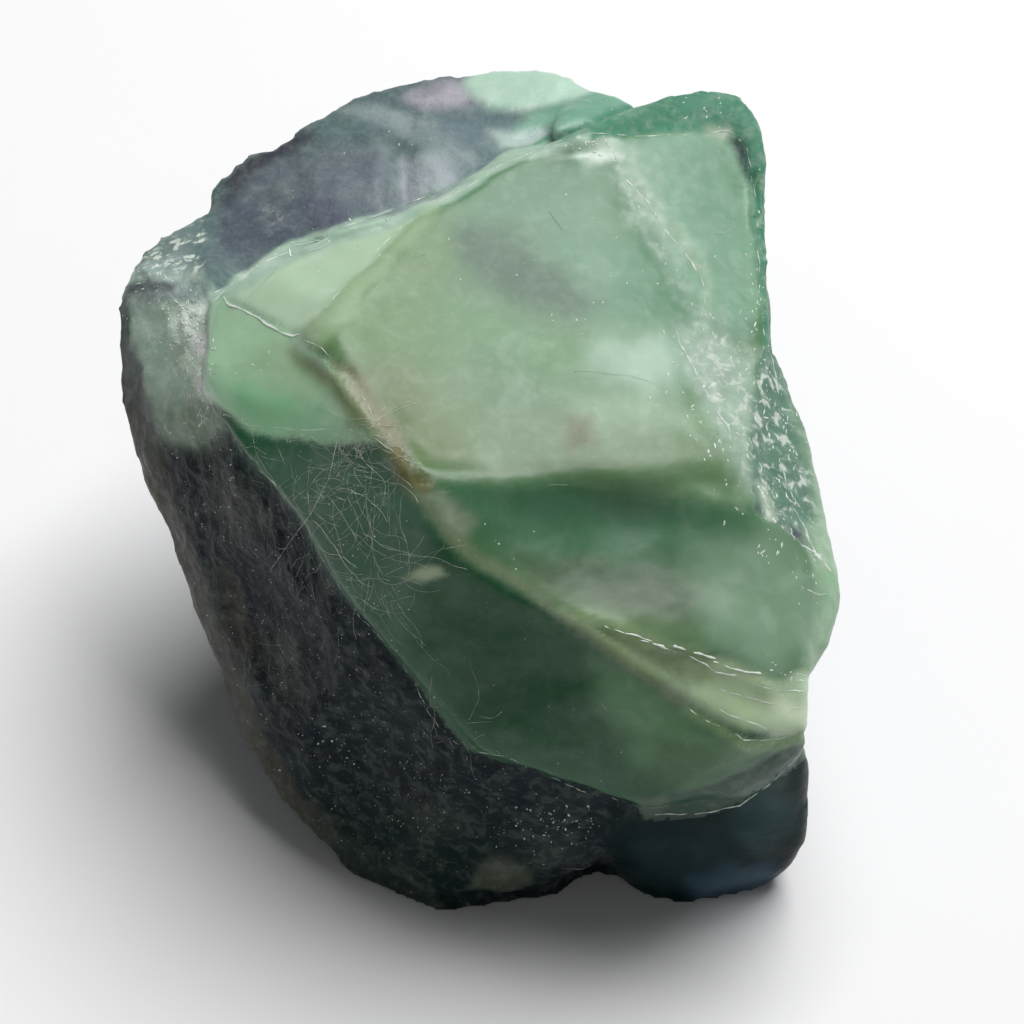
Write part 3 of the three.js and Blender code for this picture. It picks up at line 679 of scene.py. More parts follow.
# The deep green front face, the brown ridge over it and the lip under it.
FRONT = (
    Patch("front",
          ((-24.2, 8.6), (-21.0, 6.3), (-14.6, 5.3), (-9.8, 5.2), (-6.7, 0.3), (-2.6, -4.3),
           (3.8, -8.6), (10.7, -13.0), (14.2, -15.7), (19.2, -19.0), (24.0, -18.2), (15.0, -22.2),
           (10.2, -23.7), (3.8, -21.5), (-3.4, -19.2), (-9.0, -12.2), (-13.8, -6.4), (-17.0, -0.8),
           (-21.9, 5.1)),
          (32, 88, 54), feather=0.35, grain=0.08, dust=0.3, frost=0.05, clear=1.0, worn=0.55, soft=0.1),
    Patch("front dusty",
          ((-21.9, 5.1), (-14.6, 5.1), (-9.0, 4.8), (-6.4, -0.6), (-7.0, -6.2), (-9.0, -10.2),
           (-13.8, -6.2), (-17.0, -0.6)),
          (78, 115, 94), feather=1.6, dust=0.85),
    Patch("front deep",
          ((-6.9, -6.2), (2.2, -9.4), (7.8, -14.2), (3.8, -18.2), (-2.6, -17.4), (-7.4, -11.8)),
          (10, 76, 41), feather=2.2),
    Patch("front light",
          ((7.0, -11.8), (14.2, -15.8), (18.6, -18.9), (14.2, -21.9), (10.2, -20.3), (7.4, -15.8)),
          (93, 140, 95), feather=1.8),
    Patch("front olive",
          ((11.8, -18.2), (19.0, -19.2), (15.0, -21.9), (11.0, -22.2)),
          (57, 94, 52), feather=1.2, strength=0.7),
    Patch("front pale patch",
          ((-8.6, -5.4), (-7.4, -4.6), (-5.8, -4.4), (-5.4, -5.0), (-7.0, -5.6)),
          (168, 185, 148), feather=0.35),
    Patch("ridge",
          ((-10.2, 6.6), (-8.5, 4.0), (-6.2, 0.3), (-2.4, -3.5), (4.0, -7.8), (11.0, -12.2),
           (14.2, -14.6), (13.8, -15.7), (10.2, -13.4), (3.8, -8.6), (-2.7, -4.5), (-7.0, -0.3),
           (-9.3, 2.7), (-11.0, 5.8)),
          (121, 137, 106), feather=0.4, strength=0.85, grain=0.1, frost=0.1, worn=0.4),
    Patch("ridge rust",
          ((-10.9, 7.0), (-9.6, 6.6), (-7.8, 3.7), (-6.1, 2.4), (-7.0, 1.4), (-9.1, 3.0)),
          (111, 108, 67), feather=0.5, strength=0.9),
    Patch("ridge light",
          ((3.8, -7.8), (7.4, -8.6), (11.8, -9.9), (15.7, -11.0), (16.0, -13.1), (14.2, -14.6),
           (10.2, -12.8), (7.0, -10.7)),
          (146, 169, 125), feather=0.6, strength=0.8),
    Patch("under lip",
          ((10.2, -23.7), (15.0, -22.2), (24.0, -18.1), (24.3, -19.2), (18.6, -23.0), (15.0, -24.2),
           (11.0, -24.5)),
          (17, 67, 45), feather=0.3, grain=0.3, dust=0.05, frost=0.12, clear=1.0, worn=1.0),
    Patch("lip tan",
          ((9.8, -23.0), (12.2, -22.6), (12.5, -23.5), (10.6, -24.5)),
          (76, 95, 77), feather=0.3, strength=0.8),
    Patch("pale foot edge",
          ((14.2, -15.4), (19.2, -18.6), (24.0, -17.6), (24.0, -18.4), (19.0, -19.4), (13.6, -16.0)),
          (137, 166, 122), feather=0.35, strength=0.85),
)

# Each patch lies over those before it.
PATCHES: tuple[Patch, ...] = WALL + FOOT + SHOULDER + HUMP + CROWN + CORNER + BAND + FRONT


@dataclass(frozen=True)
class GrowthBands:
    """The colour bands that the fluorite grew in. They colour the sides that no patch reaches."""

    across: tuple[float, float, float] = (0.35, 0.55, 0.75)
    width: float = 9.0
    waver: float = 5.0
    colours: tuple[Colour, ...] = (
        (44, 52, 58),
        (58, 92, 78),
        (84, 82, 104),
        (52, 60, 68),
        (78, 128, 104),
        (66, 76, 84),
    )

    def tint(self, points: np.ndarray, noise: Noise) -> np.ndarray:
        """Colours places by the band that they lie in.

        Args:
            points: places on the stone, one row each.
            noise: the noise that makes the bands waver.

        Returns:
            A colour in linear light for each place, one row each.
        """
        direction = np.array(self.across) / np.linalg.norm(self.across)
        turn = (points @ direction + self.waver * noise.cloud(points, 17.0)) / self.width
        steps = np.arange(len(self.colours) + 1)
        around = np.array([linear(colour) for colour in (*self.colours, self.colours[0])])
        place = turn % len(self.colours)
        return np.stack([np.interp(place, steps, around[:, channel]) for channel in range(3)], axis=1)


class Skin:
    """A mesh's points and the edges between them, for work on the whole surface at once."""

    def __init__(self, mesh: bpy.types.Mesh) -> None:
        """Reads a mesh.

        Args:
            mesh: a closed mesh in metres.
        """
        self.mesh = mesh
        count = len(mesh.vertices)
        flat = np.empty(count * 3)
        mesh.vertices.foreach_get("co", flat)
        self.points = flat.reshape(-1, 3) * METRE
        pairs = np.empty(len(mesh.edges) * 2, int)
        mesh.edges.foreach_get("vertices", pairs)
        self.starts, self.ends = pairs.reshape(-1, 2).T
        self.degree = np.bincount(pairs, minlength=count)

    def averaged(self, values: np.ndarray, times: int) -> np.ndarray:
        """Spreads values over the surface.

        Args:
            values: one value or one row for each point.
            times: how often each point takes the mean of its neighbours and itself.

        Returns:
            The spread values, in the same form.
        """
        rows = values.reshape(len(self.points), -1).astype(float)
        for _ in range(times):
            spread = [
                np.bincount(self.starts, rows[self.ends, column], len(rows))
                + np.bincount(self.ends, rows[self.starts, column], len(rows))
                for column in range(rows.shape[1])
            ]
            rows = 0.5 * rows + 0.5 * np.stack(spread, axis=1) / self.degree[:, None]
        return rows.reshape(values.shape)

    def normals(self) -> np.ndarray:
        """Reads which way the surface faces at each point."""
        flat = np.empty(len(self.points) * 3)
        self.mesh.vertex_normals.foreach_get("vector", flat)
        return flat.reshape(-1, 3)

    def tree(self) -> BVHTree:
        """Prepares the surface for finding what a line meets."""
        return BVHTree.FromPolygons(
            [Vector(point) for point in self.points], [tuple(face.vertices) for face in self.mesh.polygons]
        )

    def move(self, points: np.ndarray) -> None:
        """Puts the points in new places."""
        self.points = points
        self.mesh.vertices.foreach_set("co", (points / METRE).ravel())
        self.mesh.update()

    def paint(self, layer: Layer, values: np.ndarray) -> None:
        """Keeps three values for each point in a layer that the material reads.

        Args:
            layer: the layer to fill.
            values: red, green and blue for each point, one row each.
        """
        attribute = self.mesh.color_attributes.new(layer.value, "FLOAT_COLOR", "POINT")
        full = np.ones((len(values), 4))
        full[:, :3] = values
        attribute.data.foreach_set("color", full.ravel())


class Paint:
    """The colours and masks that are painted on the stone, one value or row for each point."""

    def __init__(self, skin: Skin, bands: GrowthBands, noise: Noise) -> None:
        """Starts with what the sides have that no patch reaches.

        Args:
            skin: the stone's surface.
            bands: the growth bands that colour them.
            noise: the noise that makes them uneven.
        """
        points = skin.points
        self.tint = bands.tint(points, noise)
        self.grain = np.clip(0.6 + 0.35 * noise.cloud(points + 50.0, 14.0), 0.0, 1.0)
        self.dust = np.clip(0.35 + 0.3 * noise.cloud(points + 90.0, 10.0), 0.0, 1.0)
        self.frost = rise(0.2, 0.6, noise.cloud(points + 20.0, 9.0)) * 0.6
        self.clear = np.zeros(len(points))
        self.worn = np.full(len(points), 0.4)
        self.soft = np.full(len(points), 0.3)
        self.sheets: list[np.ndarray] = []

    def lay(self, patch: Patch, share: np.ndarray) -> None:
        """Lays one patch over what is there.

        Args:
            patch: the patch.
            share: how much of it each point gets.
        """
        if patch.colour is not None:
            self.tint += share[:, None] * (linear(patch.colour) - self.tint)
        for name in ("grain", "dust", "frost", "clear", "worn", "soft"):
            target = getattr(patch, name)
            if target is not None:
                mask = getattr(self, name)
                mask += share * (target - mask)
        if patch.level:
            self.sheets.append(share * patch.level)


@dataclass
class FluoriteStone:
    """The lump of fluorite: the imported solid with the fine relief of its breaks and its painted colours."""

    sight: Sight
    bands: GrowthBands = field(default_factory=GrowthBands)
    voxel: float = 0.395
    base_height: float = 0.35
    rounding: int = 30
    calming: int = 120
    fullness: float = 0.42
    crisping: int = 2
    edge_reach: int = 8
    sight_lift: float = 0.3
    sight_fill: float = 2.2
    sight_passes: tuple[int, int] = (12, 6)
    sway_width: float = 4.0
    sway_reach: float = 0.25
    sway_of_feather: float = 0.5
    cloud_bend: float = 1.2
    cloud_bend_width: float = 5.0
    cloud_width: float = 8.0
    depth_width: float = 5.5
    mottle_width: float = 2.4
    chip_bend: float = 0.7
    chip_bend_width: float = 3.0
    small_chips: float = 0.45
    chip_shares: tuple[float, float] = (0.65, 0.35)
    foot_rise: float = 3.0
    waver_width: float = 4.2
    waver_reach: float = 0.5
    chip_width: float = 2.6
    chip_depth: float = 0.5
    pit_width: float = 1.1
    pit_depth: float = 0.22
    swell_width: float = 7.0
    swell_depth: float = 0.22
    nick_width: float = 1.7
    nick_depth: float = 0.3
    flake_depth: float = 0.25
    edge_turn: tuple[float, float] = (0.06, 0.22)
    cloud_colour: Colour = (200, 220, 205)
    cloud_strength: float = 0.14
    depth_tint: tuple[float, float, float] = (0.42, 0.6, 0.5)
    depth_strength: float = 0.3
    mottle: float = 0.06
    clear_from: float = 0.5

    def build(
        self, node: bpy.types.Object, clear: bpy.types.Material, dark: bpy.types.Material
    ) -> bpy.types.Object:
        """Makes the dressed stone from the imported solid.

        Args:
            node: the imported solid.
            clear: the finish of the parts that one sees into.
            dark: the finish of the rest.

        Returns:
            The stone's piece.
        """
        piece = self.fine_copy(node)
        skin = Skin(piece.data)
        noise = Noise(STONE_SEED)
        paint = self.painted(skin, noise)
        self.even_out(skin, paint.sheets)
        self.soften(skin, paint.soft)
        edge, hollow = self.bends(skin)
        self.roughen(skin, paint, edge, noise)
        skin.paint(Layer.TINT, paint.tint)
        skin.paint(Layer.SURFACE, np.stack([paint.grain, paint.dust, paint.frost], axis=1))
        skin.paint(Layer.LIE, np.stack([edge * paint.worn, hollow, paint.clear], axis=1))
        piece.data.materials.append(clear)
        piece.data.materials.append(dark)
        self.part_finishes(piece.data, skin.averaged(paint.clear, 4))
        piece.data.shade_smooth()
        return piece

    def part_finishes(self, mesh: bpy.types.Mesh, clear: np.ndarray) -> None:
        """Gives each face the clear or the dark finish.

        Args:
            mesh: the stone's mesh, with both finishes.
            clear: how clear each point is.
        """
        corners = np.empty(len(mesh.loops), int)
        mesh.loops.foreach_get("vertex_index", corners)
        starts = np.empty(len(mesh.polygons), int)
        mesh.polygons.foreach_get("loop_start", starts)
        dark = (clear[corners[starts]] < self.clear_from).astype(int)
        mesh.polygons.foreach_set("material_index", dark)

    def fine_copy(self, node: bpy.types.Object) -> bpy.types.Object:
        """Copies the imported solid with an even, fine mesh.

        Args:
            node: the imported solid.

        Returns:
            The copy, which has no material.
        """
        piece = place_piece(STONE_PIECE, node.data.copy())
        piece.data.materials.clear()
        remesh = piece.modifiers.new("even mesh", "REMESH")
        remesh.mode = "VOXEL"
        remesh.voxel_size = self.voxel / METRE
        graph = bpy.context.evaluated_depsgraph_get()
        fine = bpy.data.meshes.new_from_object(piece.evaluated_get(graph))
        piece.modifiers.clear()
        piece.data = fine
        fine.name = STONE_PIECE
        return piece

    def in_sight(self, skin: Skin) -> np.ndarray:
        """Tells which points the eye sees, so that the front's patches stop where the front does.

        Args:
            skin: the stone's surface.

        Returns:
            1 for points in full sight, 0 for hidden ones, with a soft change between.
        """
        tree = skin.tree()
        eye = Vector(self.sight.eye())
        raised = skin.points + self.sight_lift * skin.normals()
        shows = np.zeros(len(raised))
        for index, point in enumerate(raised):
            line = eye - Vector(point)
            hit = tree.ray_cast(Vector(point), line.normalized(), line.length)
            shows[index] = 0.0 if hit[0] else 1.0
        first, second = self.sight_passes
        wide = np.clip(self.sight_fill * skin.averaged(shows, first), 0.0, 1.0)
        return skin.averaged(wide, second)

    def painted(self, skin: Skin, noise: Noise) -> Paint:
        """Lays the patches over the growth bands, and clouds over both.

        Args:
            skin: the stone's surface.
            noise: the noise that makes the patches' edges waver.

        Returns:
            The paint.
        """
        points = skin.points
        paint = Paint(skin, self.bands, noise)
        seen = self.sight.seen(points)
        shows = self.in_sight(skin)
        sway = np.stack([noise.cloud(points + shift, self.sway_width) for shift in (0.0, 70.0)], axis=1)
        for patch in PATCHES:
            reach = self.sway_reach + self.sway_of_feather * patch.feather
            paint.lay(patch, patch.share(seen + reach * sway) * shows)
        paint.tint = self.clouded(points, paint.tint, noise)
        return paint

    def clouded(self, points: np.ndarray, tint: np.ndarray, noise: Noise) -> np.ndarray:
        """Puts broad clouds and dark depths into the tint, as they show through the skin.

        Args:
            points: places on the stone, one row each.
            tint: the painted colours, one row each.
            noise: the noise that makes the clouds.

        Returns:
            The clouded colours, one row each.
        """
        bends = [noise.wave(points + shift, self.cloud_bend_width) for shift in (5.0, 25.0, 45.0)]
        bent = points + self.cloud_bend * np.stack(bends, axis=1)
        pale = rise(0.0, 0.55, noise.cloud(bent + 110.0, self.cloud_width)) * self.cloud_strength
        deep = rise(0.0, 0.55, noise.cloud(bent + 150.0, self.depth_width, 4)) * self.depth_strength
        fine = 1.0 + self.mottle * noise.cloud(bent + 190.0, self.mottle_width, 3)
        clear = linear(self.cloud_colour) * (0.1 + 0.9 * tint.mean(axis=1, keepdims=True) ** 0.5)
        clouded = tint + pale[:, None] * (clear - tint)
        return clouded * (1.0 - deep[:, None] * (1.0 - np.array(self.depth_tint))) * fine[:, None]

    def even_out(self, skin: Skin, sheets: list[np.ndarray]) -> None:
        """Lays each even face onto one smooth, slightly curved sheet.

        Args:
            skin: the stone's surface.
            sheets: how much of each even face every point is.
        """
        axes = np.array(self.sight.axes())
        for share in sheets:
            spots = skin.points @ axes.T
            inside = share > 0.5 * share.max()
            middle, reach = spots[inside].mean(axis=0), spots[inside].std(axis=0)
            across, up = ((spots - middle) / reach)[:, :2].T
            terms = np.stack([across**i * up**j for i in range(4) for j in range(4 - i)], axis=1)
            heights = terms @ np.linalg.lstsq(terms[inside], spots[inside, 2], rcond=None)[0]
            skin.move(skin.points + np.outer(share * (heights - spots[:, 2]), axes[2]))

    def soften(self, skin: Skin, soft: np.ndarray) -> None:
        """Rounds the forms that are rounded on the stone, and takes the steps off every edge.

        Args:
            skin: the stone's surface.
            soft: how rounded each point is: 0 is crisp, 0.5 is rounded and 1 is quite calm.
        """
        crisp = skin.averaged(skin.points, self.crisping)
        rounded = skin.averaged(crisp, self.rounding)
        calm = skin.averaged(rounded, self.calming)
        share = skin.averaged(soft, 6)[:, None] * rise(0.0, 3.0, skin.points[:, 2])[:, None]
        form = skin.points + (crisp - skin.points) * rise(0.0, 1.0, skin.points[:, 2])[:, None]
        much = np.clip(2.0 * share, 0.0, 1.0)
        form += much * (rounded - form)
        form += np.clip(2.0 * share - 1.0, 0.0, 1.0) * (calm - form)
        skin.move(form + much * self.fullness * skin.normals())

    def bends(self, skin: Skin) -> tuple[np.ndarray, np.ndarray]:
        """Finds the sharp edges and the inner corners.

        Args:
            skin: the stone's surface before it is roughened.

        Returns:
            How much of an edge and how much of an inner corner each point is.
        """
        turn = np.sum((skin.points - skin.averaged(skin.points, self.edge_reach)) * skin.normals(), axis=1)
        return rise(*self.edge_turn, turn), rise(*self.edge_turn, -turn)

    def roughen(self, skin: Skin, paint: Paint, edge: np.ndarray, noise: Noise) -> None:
        """Lets the edges waver, and cuts the small chips, pits and nicks of the breaks inwards.

        Args:
            skin: the stone's surface.
            paint: where it is rough and flaky.
            edge: how much of an edge each point is.
            noise: the noise that places them.
        """
        points, normals = skin.points, skin.averaged(skin.normals(), 2)
        shifts = (0.0, 40.0, 80.0)
        waver = np.stack([noise.cloud(points + shift, self.waver_width, 3, 0.6) for shift in shifts], axis=1)
        bends = [noise.wave(points + shift, self.chip_bend_width) for shift in shifts]
        bent = points + self.chip_bend * np.stack(bends, axis=1)
        chips = 1.0 - noise.scars(bent, self.chip_width)
        small = 1.0 - noise.scars(bent + 60.0, self.chip_width * self.small_chips)
        pits = 0.5 - 0.5 * noise.cloud(points, self.pit_width, 2)
        swells = 0.5 - 0.5 * noise.cloud(points, self.swell_width, 3)
        nicks = rise(0.0, 0.6, noise.cloud(points + 15.0, self.nick_width, 2))
        large_share, small_share = self.chip_shares
        depth = paint.grain * self.chip_depth * (large_share * chips + small_share * small)
        depth += (0.12 + 0.88 * paint.grain) * self.pit_depth * pits
        depth += self.swell_depth * (0.5 + 0.5 * paint.grain) * swells
        depth += paint.frost * self.flake_depth * small
        depth += edge * self.nick_depth * nicks
        foot = rise(0.0, self.base_height * self.foot_rise, points[:, 2])[:, None]
        loose = 0.12 + 0.5 * paint.grain + 1.1 * skin.averaged(edge, 10)
        reach = self.waver_reach * np.clip(loose, 0.0, 1.0)[:, None]
        skin.move(points + foot * (reach * waver - normals * depth[:, None]))


class Sheet:
    """Lays out the nodes of one material or node group from left to right."""

    def __init__(self, tree: bpy.types.NodeTree) -> None:
        """Empties the tree.

        Args:
            tree: the tree to fill.
        """
        self.tree = tree
        tree.nodes.clear()
        self.column = 0

    def node(self, kind: str, label: str, **settings: object) -> bpy.types.Node:
        """Adds a node.

        Args:
            kind: the kind of node.
            label: what it is for.
            settings: values for the node's own properties.

        Returns:
            The new node.
        """
        node = self.tree.nodes.new(kind)
        node.label = label
        node.location = (self.column * NODE_STEP, 0.0)
        self.column += 1
        for name, value in settings.items():
            setattr(node, name, value)
        return node

    def feed(self, socket: bpy.types.NodeSocket, value: object) -> None:
        """Links a socket to another, or sets it.

        Args:
            socket: the input to fill.
            value: an output to link, or a plain value.
        """
        if isinstance(value, bpy.types.NodeSocket):
            self.tree.links.new(value, socket)
        else:
            socket.default_value = value

    def put_out(self, kind: str, name: str, value: bpy.types.NodeSocket) -> None:
        """Ends the sheet with what it puts out.

        Args:
            kind: the kind of the last node.
            name: its input.
            value: the output to link to it.
        """
        self.feed(self.node(kind, "result").inputs[name], value)

    def maths(self, label: str, operation: str, *values: object) -> bpy.types.NodeSocket:
        """Works out a number.

        Args:
            label: what the number is.
            operation: the Math node's operation.
            values: its inputs, in order.

        Returns:
            The result.
        """
        node = self.node("ShaderNodeMath", label, operation=operation)
        for socket, value in zip(node.inputs, values):
            self.feed(socket, value)
        return node.outputs[0]

    def ramp(
        self, label: str, value: object, low: float, high: float, start: float = 0.0, end: float = 1.0
    ) -> bpy.types.NodeSocket:
        """Maps a span of values smoothly onto another.

        Args:
            label: what the result is.
            value: the value to map.
            low: where the span starts.
            high: where it ends.
            start: what low becomes.
            end: what high becomes.

        Returns:
            The mapped value.
        """
        node = self.node("ShaderNodeMapRange", label, interpolation_type="SMOOTHSTEP")
        for socket, given in zip(node.inputs, (value, low, high, start, end)):
            self.feed(socket, given)
        return node.outputs[0]

    def blend(self, label: str, share: object, under: object, over: object) -> bpy.types.NodeSocket:
        """Lays one colour over another.

        Args:
            label: what the result is.
            share: how much of the upper colour shows.
            under: the lower colour.
            over: the upper colour.

        Returns:
            The blended colour.
        """
        node = self.node("ShaderNodeMix", label, data_type="RGBA")
        for name, value in (("Factor_Float", share), ("A_Color", under), ("B_Color", over)):
            socket = next(s for s in node.inputs if s.identifier == name)
            self.feed(socket, value)
        return next(s for s in node.outputs if s.identifier == "Result_Color")

    def place(self) -> bpy.types.NodeSocket:
        """Reads the place on the object in millimetres."""
        where = self.node("ShaderNodeTexCoord", "place in metres")
        scaled = self.node("ShaderNodeVectorMath", "place in millimetres", operation="SCALE")
        self.feed(scaled.inputs[0], where.outputs["Object"])
        self.feed(scaled.inputs["Scale"], METRE)
        return scaled.outputs[0]

    def effect(self, group: bpy.types.NodeTree, label: str, **values: object) -> bpy.types.NodeSocket:
        """Places a shared effect.

        Args:
            group: the effect's node group.
            label: what it is for here.
            values: its inputs by name.

        Returns:
            The effect's mask.
        """
        node = self.node("ShaderNodeGroup", label, node_tree=group)
        for name, value in values.items():
            self.feed(node.inputs[name], value)
        return node.outputs["Mask"]


def new_material(name: str) -> tuple[bpy.types.Material, Sheet]:
    """Starts a material.

    Args:
        name: its name.

    Returns:
        The material and the sheet for its nodes.
    """
    material = bpy.data.materials.new(name)
    material.use_nodes = True
    return material, Sheet(material.node_tree)


class Effects:
    """The shared effects. Each one puts out a mask from 0 to 1 that changes over the surface."""

    CLOUD_DETAIL = 2.0
    CLOUD_ROUGHNESS = 0.55
    SPECK_CORE = 0.4
    SWAY_DETAIL = 1.0
    SWAY_SCALE = 0.35
    SWAY_HEIGHT = 2.6

    def __init__(self) -> None:
        """Builds each effect's node group once."""
        self.clouds = self.make_clouds()
        self.specks = self.make_specks()
        self.traces = self.make_traces()

    @staticmethod
    def group(name: str, **inputs: float) -> tuple[bpy.types.NodeTree, Sheet, bpy.types.Node]:
        """Starts a node group with a place and some numbers as inputs.

        Args:
            name: the group's name.
            inputs: the numbers and their usual values.

        Returns:
            The group, its sheet and the node that gives its inputs.
        """
        tree = bpy.data.node_groups.new(name, "ShaderNodeTree")
        tree.interface.new_socket("Place", in_out="INPUT", socket_type="NodeSocketVector")
        for label, value in inputs.items():
            socket = tree.interface.new_socket(label, in_out="INPUT", socket_type="NodeSocketFloat")
            socket.default_value = value
        tree.interface.new_socket("Mask", in_out="OUTPUT", socket_type="NodeSocketFloat")
        sheet = Sheet(tree)
        return tree, sheet, sheet.node("NodeGroupInput", "inputs")

    def make_clouds(self) -> bpy.types.NodeTree:
        """Builds soft clouds: Size is how broad they are, and Low and High are where they start and fill.

        Returns:
            The node group.
        """
        tree, sheet, given = self.group("clouds", Size=4.0, Bend=0.6, Low=0.4, High=0.65)
        scale = sheet.maths("swells in a millimetre", "DIVIDE", 1.0, given.outputs["Size"])
        noise = sheet.node("ShaderNodeTexNoise", "cloud noise")
        noise.inputs["Detail"].default_value = self.CLOUD_DETAIL
        noise.inputs["Roughness"].default_value = self.CLOUD_ROUGHNESS
        sheet.feed(noise.inputs["Vector"], given.outputs["Place"])
        sheet.feed(noise.inputs["Scale"], scale)
        sheet.feed(noise.inputs["Distortion"], given.outputs["Bend"])
        mask = sheet.ramp("clouds", noise.outputs[0], given.outputs["Low"], given.outputs["High"])
        sheet.put_out("NodeGroupOutput", "Mask", mask)
        return tree

    def make_specks(self) -> bpy.types.NodeTree:
        """Builds small round specks: Spacing is between cells, Radius is a speck's, Share is how many show.

        Returns:
            The node group.
        """
        tree, sheet, given = self.group("specks", Spacing=0.6, Radius=0.12, Share=0.5)
        scale = sheet.maths("cells in a millimetre", "DIVIDE", 1.0, given.outputs["Spacing"])
        cells = sheet.node("ShaderNodeTexVoronoi", "cells")
        sheet.feed(cells.inputs["Vector"], given.outputs["Place"])
        sheet.feed(cells.inputs["Scale"], scale)
        reach = sheet.maths("reach in cells", "MULTIPLY", given.outputs["Radius"], scale)
        inner = sheet.maths("where a speck is full", "MULTIPLY", reach, self.SPECK_CORE)
        outside = sheet.ramp("outside a speck", cells.outputs["Distance"], inner, reach)
        dot = sheet.maths("speck", "SUBTRACT", 1.0, outside)
        lot = sheet.node("ShaderNodeSeparateColor", "the cell's lot")
        sheet.feed(lot.inputs[0], cells.outputs["Color"])
        shows = sheet.maths("cells that have one", "LESS_THAN", lot.outputs[0], given.outputs["Share"])
        mask = sheet.maths("specks", "MULTIPLY", dot, shows)
        sheet.put_out("NodeGroupOutput", "Mask", mask)
        return tree

    def make_traces(self) -> bpy.types.NodeTree:
        """Builds straight hairlines side by side, as crystal planes leave: Spacing is from line to line.

        Returns:
            The node group.
        """
        tree, sheet, given = self.group("traces", Spacing=1.2, Thickness=0.08)
        planes = tree.interface.new_socket("Planes", in_out="INPUT", socket_type="NodeSocketVector")
        planes.default_value = (0.58, 0.58, 0.58)
        turned = sheet.node("ShaderNodeVectorMath", "height over the planes", operation="DOT_PRODUCT")
        sheet.feed(turned.inputs[0], given.outputs["Place"])
        sheet.feed(turned.inputs[1], given.outputs["Planes"])
        noise = sheet.node("ShaderNodeTexNoise", "sway")
        noise.inputs["Detail"].default_value = self.SWAY_DETAIL
        noise.inputs["Scale"].default_value = self.SWAY_SCALE
        sheet.feed(noise.inputs["Vector"], given.outputs["Place"])
        height = turned.outputs["Value"]
        swayed = sheet.maths("uneven steps", "MULTIPLY_ADD", noise.outputs[0], self.SWAY_HEIGHT, height)
        steps = sheet.maths("steps", "DIVIDE", swayed, given.outputs["Spacing"])
        between = sheet.maths("from step to step", "PINGPONG", steps, 0.5)
        beside = sheet.ramp("beside a line", between, 0.0, given.outputs["Thickness"])
        mask = sheet.maths("lines", "SUBTRACT", 1.0, beside)
        sheet.put_out("NodeGroupOutput", "Mask", mask)
        return tree


